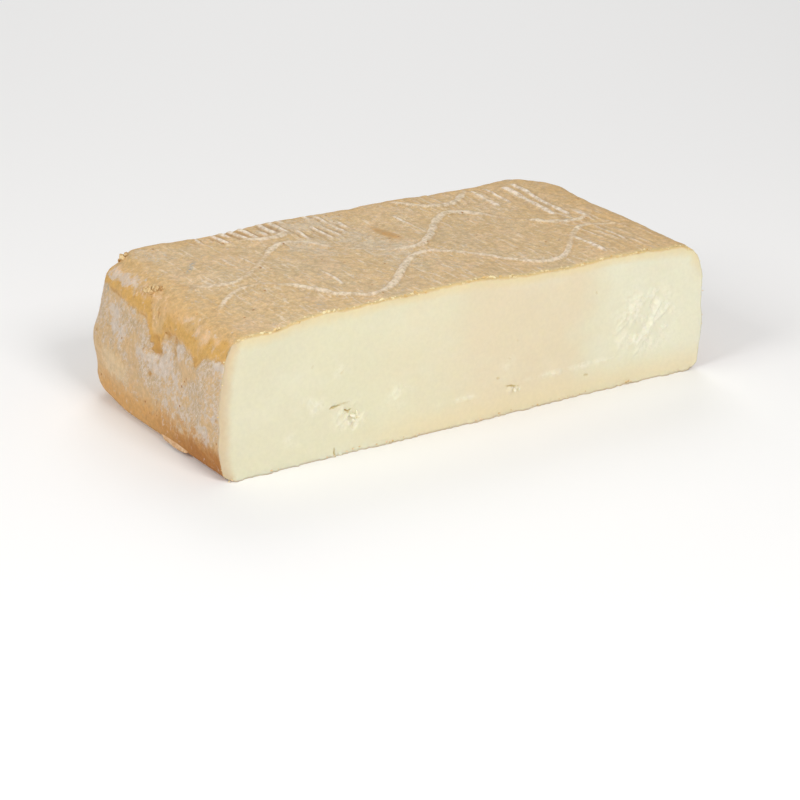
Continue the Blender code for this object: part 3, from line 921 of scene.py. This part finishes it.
def shapeHalf():
    points, quads = blockGrid()
    mesh = newMesh("cheeseHalf", points, faces=quads.tolist())
    bm = bmesh.new()
    bm.from_mesh(mesh)
    bm.normal_update()
    refineCut(bm)
    bm.verts.index_update()
    plain = np.array([corner.co[:] for corner in bm.verts])
    front = plain[:, 1] <= -block["depth"] / 2 + tiny
    for face in bm.faces:
        face.smooth = True
        face.material_index = int(all(front[corner.index] for corner in face.verts))
    rolled, facing, roundedOff = rollEdges(plain)
    skin = settle(rolled)
    offTable = smoothStep(skin[:, 2] / 0.012)
    onTop = smoothStep((facing[:, 2] - 0.6) / 0.35)
    mat, matGap, close = matShare(skin)
    net = netShare(skin) * onTop * (1.0 - 0.95 * close)
    mat, matGap = (share * onTop * (1.0 - net) for share in (mat, matGap))
    relief, hollow, pit = skinRelief(skin, facing)
    over, lip = rolledSkinShare(skin, facing)
    change = settling["swell"] * softNoise(skin, settling["swellSpan"], 1) * offTable
    change += pressedNet["height"] * net + matLines["height"] * (mat - 0.4 * matGap)
    change += rindSkin["sideSwell"] * softNoise(skin, rindSkin["sideSpan"], 27) * (1.0 - onTop) * offTable
    change += relief * offTable + lip - hollow - backLeftStep(skin, facing)
    facing[front, 1] = 0.0
    change[front] *= smoothStep(roundedOff[front] * 1.5)
    bloom, chalk, cream = bloomShare(skin, facing, over)
    stain, fleck = (
        onTop * patchesOver(skin[:, 0], skin[:, 1], bloomPlaces[kind], 1.0) for kind in ("stains", "flecks")
    )
    inland = np.minimum(block["length"] / 2 - np.abs(plain[:, 0]), block["depth"] / 2 - plain[:, 1])
    skin += facing * change[:, None]
    depth, inEye, torn = cutRelief(skin)
    skin[front, 1] += settling["cutWave"] * softNoise(skin[front], settling["cutWaveSpan"], 2)
    inward = smoothStep(rimDistance(plain) / 0.0015)
    skin[front, 1] += (depth * inward)[front] + softEdge(plain[front])
    skin[:, 2] = np.maximum(skin[:, 2], 0.0)
    skin += np.array([cadHigh[0] - skin[:, 0].max(), cadLow[1] - skin[:, 1].min(), 0.0])
    skin[:, 1] -= front * raggedRim(skin, plain)
    # what the materials and the small pieces need to know at each point
    onRind = {
        "net": net, "mat": mat, "matGap": matGap, "bloom": bloom, "chalk": chalk, "cream": cream,
        "stain": stain, "fleck": fleck, "pit": pit,
    }
    onCut = {
        "fromRind": rimDistance(plain), "fromLeft": block["length"] / 2 + plain[:, 0],
        "inEye": inEye, "torn": torn,
    }
    facts = {
        "fromCut": skin[:, 1] - cadLow[1],
        "upness": facing[:, 2],
        "inland": inland,
        "rolledOver": smoothStep(over / rolledSkin["softness"] * 0.5 + 0.5),
        "ochre": smoothStep(1.0 - np.abs(over - 0.0015) / rolledSkin["ochreReach"]),
        "rim": rimShare(plain),
        **{name: np.where(front, 0.0, values) for name, values in onRind.items()},
        **{name: np.where(front, values, 0.0) for name, values in onCut.items()},
    }
    for corner, place in zip(bm.verts, skin):
        corner.co = place
    for name, values in facts.items():
        layer = bm.verts.layers.float.new(name)
        for corner, value in zip(bm.verts, values.tolist()):
            corner[layer] = value
    simplifyBase(bm)
    bm.to_mesh(mesh)
    bm.free()
    x, z = plain[:, 0], plain[:, 2]
    rims = {
        "top": front & (z > block["height"] - tiny),
        "left": front & (x < tiny - block["length"] / 2),
        "right": front & (x > block["length"] / 2 - tiny),
        "base": front & (z < tiny),
    }
    lines = {}
    for name, onRim in rims.items():
        order = np.argsort((z if name in ("left", "right") else x)[onRim])
        lines[name] = skin[onRim][order]
    return mesh, lines


halfMesh, rimLines = shapeHalf()
cheeseHalf = addObject("cheeseHalf", halfMesh)
report("rind and paste shaped", cheeseHalf)


# The rind's colours, from the tan top to the bloom and the orange rolls

rindColours = {
    "tan": paint(203, 172, 123),
    "greyTan": paint(198, 173, 132),
    "pinkBeige": paint(217, 185, 144),
    "edgeTan": paint(207, 170, 114),
    "sideTan": paint(204, 172, 129),
    "rollPink": paint(232, 201, 172),
    "orange": paint(216, 177, 125),
    "yellowOchre": paint(206, 161, 86),
    "ochre": paint(190, 143, 76),
    "brown": paint(170, 120, 66),
    # browns low on the sides: the rind's own colour deepened with painted shade at the foot; deepBrown also
    # colours the dark specks
    "lowBrown": paint(205, 154, 86),
    "deepBrown": paint(162, 101, 32),
    "crestWhite": paint(225, 208, 183),
    "ridgeWhite": paint(228, 214, 196),
    # painted shade for the gaps between the mat's pressed lines
    "matShade": paint(170, 134, 92),
    "powderWhite": paint(219, 200, 168),
    "topBloom": paint(209, 193, 168),
    "bloomWhite": paint(208, 194, 180),
    "bloomGrey": paint(187, 168, 141),
    "flake": paint(230, 220, 207),
    "cream": paint(214, 190, 152),
    "blueGrey": paint(140, 144, 140),
    "cutYellow": paint(219, 196, 143),
    "cutCream": paint(232, 220, 190),
    "roughness": 0.60,
    "bloomRoughness": 0.88,
    "specular": 0.34,
}


def makeRind():
    colours = rindColours
    coat = Coat("washedRind", colours, "tan")
    x, y, z = coat.axes()
    patches = coat.noise(105, 4, 0.6, 0.4, offset=(0.3, 0.1, 0.2))
    blotch = coat.noise(190, 5, 0.70, 0.6, offset=(0.5, 0.8, 0.3))
    mottle = coat.noise(560, 5, 0.68)
    powder = coat.noise(1050, 5, 0.76)
    grain = coat.noise(1700, 3, 0.7)
    side = coat.fact("upness").ramp(0.92, 0.55)
    onTop = coat.fact("upness").ramp(0.6, 0.95)

    # the ground of the top: tan with greyer and pinker clouds, warmer and smoother along the edges
    coat.lay(coat.noise(46, 3, 0.55).ramp(0.44, 0.66, 0.0, 0.8), "greyTan")
    coat.lay(patches.ramp(0.46, 0.64, 0.0, 0.60), "pinkBeige")
    edgeWobble = (patches - 0.5) * 0.030
    atBack = (y + edgeWobble).ramp(0.030, 0.040)
    edgeShare = (coat.fact("inland") + edgeWobble).ramp(0.016, 0.005).atLeast(atBack)
    coat.lay(edgeShare * 0.80, "edgeTan")

    # the sides: beige-orange where the skin is rolled over, ochre along its edge, and brown towards the
    # table, partly the rind's own colour and partly painted shade where the foot turns under and meets the
    # table
    rolledOver = coat.fact("rolledOver")
    rollNoise = coat.noise(110, 4, 0.6, offset=(0.7, 0.0, 0.4)).ramp(0.34, 0.60)
    coat.lay(side * rolledOver * rollNoise * 0.80, "orange")
    coat.lay(side * blotch.ramp(0.50, 0.40) * y.ramp(-0.035, 0.010, 0.35, 0.85), "rollPink")
    coat.lay(side * rolledOver.ramp(0.6, 0.1) * 0.85, "sideTan")
    ochrePatch = (coat.fact("ochre") + blotch * 1.5).ramp(0.75, 1.45)
    coat.lay(side * ochrePatch * rolledOver * 0.90, "yellowOchre")
    crease = rolledOver.ramp(0.02, 0.30) * rolledOver.ramp(0.95, 0.45)
    coat.lay(side * crease * rollNoise * 0.80, "ochre")
    lifted = z + (blotch - 0.5) * 0.016
    coat.lay(lifted.ramp(0.015, 0.006) * side * 0.85, "lowBrown")
    # the deepest brown at the foot towards the cut: the rind's brown with painted shade under the roll
    foot = lifted.ramp(0.0145, 0.0045) * y.ramp(0.010, -0.034)
    coat.lay(foot * side * 0.90, "deepBrown")

    # short dark strokes up and down the sides
    upright = coat.noise(900, 3, 0.6, scale=(1.0, 1.0, 0.30), lean=math.radians(-12))
    coat.lay(side * upright.ramp(0.58, 0.66) * blotch.ramp(0.46, 0.60) * 0.60, "brown")

    # powder and short pale strokes along the mat's lines, thin over the whole top
    dusty = coat.noise(62, 3, 0.55, offset=(0.2, 0.7, 0.1)).ramp(0.38, 0.62)
    inner = 1.0 - edgeShare * 0.70
    offFoot = lifted.ramp(0.004, 0.011)
    dust = powder.ramp(0.51, 0.62) * dusty.ramp(0.0, 1.0, 0.20, 0.9) * inner
    coat.lay(dust * side.ramp(0.0, 1.0, 0.65, 0.30) * offFoot, "powderWhite")
    coat.lay(powder.ramp(0.43, 0.30) * side.ramp(0.0, 1.0, 0.50, 0.25), "ochre")
    strokes = coat.noise(820, 3, 0.6, scale=(1.0, 0.13, 1.0))
    coat.lay(strokes.ramp(0.57, 0.67) * onTop * inner * 0.55, "crestWhite")

    # white bloom: powdery on the top, streaked and speckled on the sides
    slant = {"scale": (1.0, 1.0, 0.42), "lean": math.radians(-34)}
    strands = coat.noise(1250, 5, 0.72, 0.5, **slant)
    tufts = coat.noise(330, 5, 0.68, 0.5, offset=(0.6, 0.3, 0.9))
    chalk = coat.fact("chalk")
    broken = (strands - 0.5) * 1.2 + (tufts - 0.5) * 2.2 + (powder - 0.5) * 0.8
    cover = (coat.fact("bloom") * 0.95 + broken).ramp(0.30, 0.95)
    greyShare = (strands + chalk * 0.12).ramp(0.56, 0.46)
    sideBloom = coat.mix(greyShare, colours["bloomWhite"], colours["bloomGrey"])
    coat.lay(cover * 0.72, coat.mix(onTop, sideBloom, colours["topBloom"]))
    coat.lay((coat.fact("cream") + broken).ramp(0.25, 1.0) * 0.80, "cream")
    thick = (chalk + broken * 1.3).ramp(0.25, 0.95)
    coat.lay(thick * 0.80, "bloomWhite")
    mouldy = cover.atLeast(thick) * offFoot.ramp(0.0, 1.0, 0.4, 1.0)
    flakes = coat.noise(1900, 3, 0.6, **slant).ramp(0.60, 0.68)
    coat.lay(flakes * mouldy * side * 0.65, "flake")

    # the right of the top is a warmer tan
    coat.lay(x.ramp(0.030, 0.080) * onTop * 0.45, "edgeTan")

    # the pressed lines: pale and powdery along their crests, with painted shade beside them: a faint brown
    # along the net bars' flanks and matShade in the gaps between the mat's lines
    net = coat.fact("net")
    worn = mottle.ramp(0.36, 0.56, 0.35, 1.0)
    coat.lay(net.ramp(0.16, 0.62) * worn * 0.90, "crestWhite")
    # painted shade: a faint brown along the flanks of the net bars
    coat.lay(net.ramp(0.02, 0.14) * net.ramp(0.42, 0.22) * 0.10, "brown")
    coat.lay(coat.fact("mat").ramp(0.15, 0.55) * worn * 0.95, "ridgeWhite")
    # painted shade in the gaps between the mat's lines
    coat.lay(coat.fact("matGap").ramp(0.15, 0.65, 0.0, 0.70), "matShade")

    # stain, blue-grey flecks, dark specks, pits and the yellow band beside the cut
    coat.lay(coat.fact("stain") * mottle.ramp(0.35, 0.60, 0.5, 1.0), "ochre")
    flecks = coat.noise(120, 3, 0.5, offset=(0.11, 0.52, 0.33)).ramp(0.67, 0.74) * 0.6
    flecks = flecks.atLeast(coat.fact("fleck"))
    coat.lay(flecks * mottle.ramp(0.40, 0.56) * powder.ramp(0.42, 0.54), "blueGrey")
    dots = coat.make("ShaderNodeTexVoronoi", "Distance", {"Vector": coat.here, "Scale": 210})
    rare = coat.noise(75, 2, 0.5, offset=(0.9, 0.2, 0.6)).ramp(0.48, 0.56)
    coat.lay(dots.ramp(0.11, 0.05) * rare * 0.85, "deepBrown")
    coat.lay(coat.fact("pit").ramp(0.25, 0.95, 0.0, 0.85), "ochre")
    fromCut = coat.fact("fromCut") + (mottle - 0.5) * 0.006
    coat.lay(fromCut.ramp(0.0036, 0.0003) * onTop * 0.85, "cutYellow")
    coat.lay(fromCut.ramp(0.0030, 0.0002) * side * 0.60, "cutCream")

    shade = mottle.ramp(0.28, 0.72, 0.78, 1.14) * grain.ramp(0.25, 0.75, 0.90, 1.08)
    coat.shadeBy((shade - 1.0) * side.ramp(0.0, 1.0, 1.0, 0.6) + 1.0)
    coat.bump(mottle, 0.00034, 0.50)
    coat.bump(grain, 0.00007, 0.50)
    coat.bump(mouldy * (strands + powder * 0.8), 0.00014, 0.45)
    return coat.finish(
        Roughness=mouldy.ramp(0.0, 1.0, colours["roughness"], colours["bloomRoughness"]),
        Specular_IOR_Level=colours["specular"],
        Subsurface_Weight=0.12,
        Subsurface_Radius=(0.0022, 0.0013, 0.0006),
        Subsurface_Scale=1.0,
    )


# The paste of the cut face

pasteColours = {
    "ivory": paint(228, 223, 193),
    "creamy": paint(230, 215, 184),
    "greenish": paint(226, 221, 193),
    "white": paint(234, 231, 208),
    "flake": paint(249, 245, 226),
    "freshShade": paint(243, 234, 203),
    "nearRind": paint(231, 215, 172),
    "nearTable": paint(234, 219, 182),
    "rim": paint(216, 184, 126),
    "lip": paint(230, 196, 164),
    "leftRim": paint(207, 186, 152),
    "eye": paint(206, 178, 98),
    "roughness": 0.46,
    "specular": 0.36,
}


def makePaste():
    colours = pasteColours
    coat = Coat("ivoryPaste", colours, "ivory")
    x, _, z = coat.axes()
    drift = coat.noise(60, 3, 0.55, scale=(0.5, 1.0, 1.0), offset=(0.4, 0.0, 0.1))
    fine = coat.noise(760, 4, 0.6)

    # creamy in the middle, greener to the left and whiter to the right
    wandering = x + (coat.noise(26, 3, 0.5) - 0.5) * 0.09
    coat.lay(wandering.ramp(-0.045, 0.012) * wandering.ramp(0.075, 0.040) * 0.85, "creamy")
    coat.lay(wandering.ramp(-0.045, -0.080, 0.0, 0.80), "greenish")
    coat.lay(wandering.ramp(0.045, 0.080, 0.0, 0.65), "white")
    coat.lay(drift.ramp(0.50, 0.75, 0.0, 0.35), "white")

    # yellower near the rind, most along the top, with the rind's own line round the cut
    rim, torn = coat.fact("rim"), coat.fact("torn")
    ragged = coat.noise(420, 4, 0.6) - 0.5
    inward = coat.fact("fromRind") + ragged * 0.0022
    coat.lay(inward.ramp(0.0050, 0.0010) * z.ramp(0.030, 0.042) * 0.80, "nearRind")
    coat.lay(z.ramp(0.012, 0.001, 0.0, 0.85) * x.ramp(-0.06, -0.01), "nearTable")
    rimColour = coat.mix(z.ramp(0.008, 0.003), colours["rim"], colours["lip"])
    coat.lay((rim + ragged * 0.9).ramp(0.30, 0.80) * rim * 0.95, rimColour)
    leftEdge = coat.fact("fromLeft") + ragged * 0.0016
    coat.lay(leftEdge.ramp(0.0044, 0.0008) * 0.85, "leftRim")
    coat.lay(torn * fine.ramp(0.35, 0.60, 0.4, 1.0) * 0.80, "flake")
    coat.lay(coat.fact("inEye") * 0.75, "eye")

    coat.shadeBy(fine.ramp(0.25, 0.75, 0.975, 1.02))
    coat.bump(coat.noise(210, 4, 0.55, 0.5, scale=(0.35, 1.0, 1.3)), 0.00035, 0.35)
    coat.bump(fine, 0.00010, 0.35)
    coat.bump(torn * coat.noise(900, 5, 0.7), 0.00050, 0.8)
    return coat.finish(
        Roughness=drift.ramp(0.3, 0.7, colours["roughness"] - 0.05, colours["roughness"] + 0.08),
        Specular_IOR_Level=colours["specular"],
        Subsurface_Weight=0.30,
        Subsurface_Radius=(0.0040, 0.0028, 0.0014),
        Subsurface_Scale=1.0,
    )


for material in (makeRind(), makePaste()):
    cheeseHalf.data.materials.append(material)
report("rind and paste coloured")


# Lumps of dried curd stuck to the rind, and torn curd in the largest eye

stuckCurd = {
    # (along X, Y, Z, width)
    "onRind": [
        (-0.0850, 0.0372, 0.0470, 0.0028),
        (-0.0840, 0.0358, 0.0474, 0.0034),
        (-0.0826, 0.0348, 0.0475, 0.0026),
        (-0.0842, 0.0342, 0.0472, 0.0019),
        (-0.0894, 0.0090, 0.0447, 0.0030),
        (-0.0889, 0.0074, 0.0455, 0.0036),
        (-0.0892, 0.0054, 0.0449, 0.0026),
        (-0.0880, 0.0048, 0.0460, 0.0037),
        (-0.0874, 0.0026, 0.0462, 0.0024),
    ],
    "colour": paint(228, 202, 152),
    "shade": paint(176, 132, 76),
    # (along X, up, width), on the cut face
    "tornCurd": [
        (-0.0482, 0.0130, 0.0026), (-0.0468, 0.0137, 0.0018), (-0.0478, 0.0112, 0.0020),
        (-0.0464, 0.0122, 0.0014), (0.0152, 0.0084, 0.0027), (0.0170, 0.0081, 0.0018),
    ],
    "flapColour": paint(222, 188, 148),
    "flapShade": paint(204, 160, 112),
    "tornFlatness": 0.42,
    "tornRough": 0.00035,
    "tornSunk": 0.06,
    "standProud": 0.08,
    "rough": 0.0007,
}


def pointCloud(name, points, widths):
    mesh = newMesh(name, points)
    layer = mesh.attributes.new("width", "FLOAT", "POINT")
    layer.data.foreach_set("value", np.asarray(widths, np.float32))
    return mesh


def lumpTree(name, material, roughness, flatness, seed):
    # one uneven lump on every point of the carrier, as wide as the point's own width
    grow = NodeTree(name)
    rough = grow.addInput("Roughness", roughness)
    flat = grow.addInput("Flatness", flatness)
    width = grow.held("width")
    squashed = grow.times(width, flat)
    size = grow.node("ShaderNodeCombineXYZ", 0, {"X": width, "Y": squashed, "Z": squashed})
    tilt, spin = 0.7, 3.0
    turn = grow.random((-tilt, -tilt, -spin), (tilt, tilt, spin), seed)
    lumps = grow.placed(Points=grow.carrier, Instance=grow.ball(4), Scale=size, Rotation=turn)
    return grow.finishWith(grow.roughened(lumps, rough, 900.0), material)


def makeCurdMaterial(name, first, second, roughness):
    # without light under the skin: that turns half sunk grains dark
    coat = Coat(name, {"first": first, "second": second}, "first")
    coat.lay(coat.noise(520, 4, 0.6).ramp(0.38, 0.64), "second")
    coat.bump(coat.noise(2200, 4, 0.7), 0.00008, 0.5)
    return coat.finish(Roughness=roughness)


driedCurd = makeCurdMaterial("driedCurd", stuckCurd["colour"], stuckCurd["shade"], 0.62)
freshCurd = makeCurdMaterial("freshCurd", pasteColours["flake"], pasteColours["freshShade"], 0.50)


def restOnRind(points, widths):
    # moves points onto the half's skin, so that lumps of these widths are sunk a third into it
    places = []
    for point, width in zip(points, widths):
        _, place, normal, _ = cheeseHalf.closest_point_on_mesh(Vector(point))
        places.append(place + normal * width * stuckCurd["standProud"])
    return places


onRind = np.array(stuckCurd["onRind"])
curdLumps = growPiece(
    "curdLumps",
    pointCloud("curdPoints", restOnRind(onRind[:, :3], onRind[:, 3]), onRind[:, 3]),
    lumpTree("curdLumpTree", driedCurd, stuckCurd["rough"] * 1.7, 0.54, 3),
    driedCurd,
)

tornPoints = np.array(stuckCurd["tornCurd"])
tornDepth = cadLow[1] + stuckCurd["tornSunk"] * tornPoints[:, 2]
tornPlaces = np.column_stack([tornPoints[:, 0], tornDepth, tornPoints[:, 1]])
tornCurd = growPiece(
    "tornCurd",
    pointCloud("tornPoints", tornPlaces, tornPoints[:, 2]),
    lumpTree("tornCurdTree", freshCurd, stuckCurd["tornRough"], stuckCurd["tornFlatness"], 8),
    freshCurd,
)


# Flap of torn skin along the foot of the left end, a thin ragged strip that hangs outwards

footFlapSizes = {
    "from": -0.0240,
    "to": -0.0065,
    "steps": 90,              # along the strip
    "sides": 16,              # round it
    "width": 0.0023,
    "thickness": 0.0008,
    "droop": math.radians(66),
    "height": 0.0022,         # of its root above the table
    "ragged": 0.00035,
    "sunk": 0.20,             # share of the strip that lies inside the rind
}


def flapMesh():
    sizes = footFlapSizes
    share = np.linspace(0.0, 1.0, sizes["steps"])
    along = between(sizes["from"], sizes["to"], share)
    turn = np.linspace(0.0, 2.0 * math.pi, sizes["sides"], endpoint=False)
    rings = []
    for y, taper in zip(along, np.sin(math.pi * share) ** 0.5):
        _, root, _, _ = cheeseHalf.closest_point_on_mesh(Vector((-block["length"] / 2, y, sizes["height"])))
        outwards = 0.5 * sizes["width"] * taper * (sizes["sunk"] + np.cos(turn))
        upwards = 0.5 * sizes["thickness"] * (0.3 + 0.7 * taper) * np.sin(turn)
        cosine, sine = math.cos(sizes["droop"]), math.sin(sizes["droop"])
        rings.append(np.column_stack([
            root.x - outwards * cosine - upwards * sine,
            np.full(len(turn), y),
            root.z - outwards * sine + upwards * cosine,
        ]))
    points = np.concatenate(rings)
    tip = np.maximum(np.tile(np.cos(turn), sizes["steps"]), 0.0)
    points[:, 0] += sizes["ragged"] * (tip + 0.2) * softNoise(points, 0.0030, 61)
    points[:, 2] = np.maximum(points[:, 2] + 0.5 * sizes["ragged"] * softNoise(points, 0.0040, 62), 0.0)
    count, around = len(points), sizes["sides"]
    faces = [
        (ring + side, ring + (side + 1) % around, ring + around + (side + 1) % around, ring + around + side)
        for ring in range(0, count - around, around) for side in range(around)
    ]
    faces += [tuple(range(around - 1, -1, -1)), tuple(range(count - around, count))]
    mesh = newMesh("footFlap", points, faces=faces)
    bm = bmesh.new()
    bm.from_mesh(mesh)
    bmesh.ops.recalc_face_normals(bm, faces=bm.faces)
    for face in bm.faces:
        face.smooth = True
    bm.to_mesh(mesh)
    bm.free()
    return mesh


tornSkin = makeCurdMaterial("tornSkin", stuckCurd["flapColour"], stuckCurd["flapShade"], 0.55)
footFlap = addObject("footFlap", flapMesh(), tornSkin)
report("torn flap at the foot", footFlap)


# Crumbs and torn skin that the wire left along the rim of the cut

rimCrumbs = {
    # line: (spacing, share kept, smallest and largest crumb)
    "top": (0.00085, 0.60, 0.00040, 0.00170),
    "left": (0.00140, 0.40, 0.00030, 0.00080),
    "right": (0.00130, 0.40, 0.00025, 0.00060),
    "base": (0.00130, 0.35, 0.00035, 0.00110),
    "flatness": (1.0, 0.50, 0.50),
    "scatter": 0.00045,
    "rough": 0.00050,
    "lift": 0.0007,           # the crumbs of the base line lie on the table
    "topColour": paint(241, 226, 178),
    "baseColour": paint(234, 207, 174),
    "dark": paint(214, 178, 116),
}


def crumbTree(name, material, spacing, kept, smallest, largest, seed):
    # uneven crumbs along a line, lying roughly along it
    grow = NodeTree(name)
    step, share, small, large, scatter, rough = (grow.addInput(*entry) for entry in (
        ("Spacing", spacing), ("Share kept", kept), ("Smallest", smallest), ("Largest", largest),
        ("Scatter", rimCrumbs["scatter"]), ("Roughness", rimCrumbs["rough"]),
    ))
    curve = grow.node("GeometryNodeMeshToCurve", 0, {"Mesh": grow.carrier})
    evenly = grow.node("GeometryNodeResampleCurve", 0, {"Curve": curve, "Length": step}, mode="LENGTH")
    shaken = grow.moved(evenly, grow.random((-1.0, -0.4, -1.0), (1.0, 1.0, 1.0), seed), scatter)
    inputs = {"Probability": share, "Seed": seed + 1}
    chosen = grow.node("FunctionNodeRandomValue", 3, inputs, data_type="BOOLEAN")
    tilt = 0.6
    crumbs = grow.placed(
        Points=shaken,
        Instance=grow.ball(3, rimCrumbs["flatness"]),
        Selection=chosen,
        Scale=grow.random(small, large, seed + 2),
        Rotation=grow.random((-tilt,) * 3, (tilt,) * 3, seed + 3),
    )
    return grow.finishWith(grow.roughened(crumbs, rough, 1800.0), material)


topCrumbs = makeCurdMaterial("topCrumbs", rimCrumbs["topColour"], rimCrumbs["dark"], 0.60)
baseCrumbs = makeCurdMaterial("baseCrumbs", rimCrumbs["baseColour"], rimCrumbs["dark"], 0.65)
rimPieces = []
rimLines["base"][:, 2] += rimCrumbs["lift"]
for seed, (rimName, rimPoints) in enumerate(rimLines.items()):
    crumbMaterial = baseCrumbs if rimName == "base" else topCrumbs
    rimPieces.append(growPiece(
        rimName + "RimCrumbs",
        newMesh(rimName + "Rim", rimPoints, [(i, i + 1) for i in range(len(rimPoints) - 1)]),
        crumbTree(rimName + "RimTree", crumbMaterial, *rimCrumbs[rimName], seed * 10),
        crumbMaterial,
    ))


# Powder of the bloom, as grains that stand on the rind

bloomPowder = {
    "perSquareMetre": 950000.0,
    "smallest": 0.00010,
    "largest": 0.00036,
    "flatness": 0.5,
    "colour": paint(213, 200, 184),
    "shade": paint(196, 178, 154),
    "seed": 11,
}


def powderTree(material):
    grow = NodeTree("bloomPowderTree")
    density, small, large = (grow.addInput(name, bloomPowder[key]) for name, key in (
        ("Grains per square metre", "perSquareMetre"), ("Smallest", "smallest"), ("Largest", "largest"),
    ))
    inputs = {"Value": grow.held("bloom"), "From Min": 0.25, "From Max": 0.95}
    amount = grow.times(grow.node("ShaderNodeMapRange", "Result", inputs), density)
    inputs = {"Mesh": grow.carrier, "Density": amount, "Seed": bloomPowder["seed"]}
    scatter = addNode(grow.tree, "GeometryNodeDistributePointsOnFaces", inputs)
    grains = grow.placed(
        Points=scatter["Points"],
        Rotation=scatter["Rotation"],
        Instance=grow.ball(1, (1.0, 1.0, bloomPowder["flatness"])),
        Scale=grow.random(small, large, bloomPowder["seed"] + 1),
    )
    return grow.finishWith(grains, material)


powderMaterial = makeCurdMaterial("bloomPowder", bloomPowder["colour"], bloomPowder["shade"], 0.92)
powderGrains = growPiece("bloomPowder", cheeseHalf.data.copy(), powderTree(powderMaterial), powderMaterial)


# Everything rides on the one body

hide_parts("cheese_half")
rindPieces = [cheeseHalf, curdLumps, footFlap, powderGrains, *rimPieces]
for piece in [*rindPieces, tornCurd]:
    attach(piece, "root")
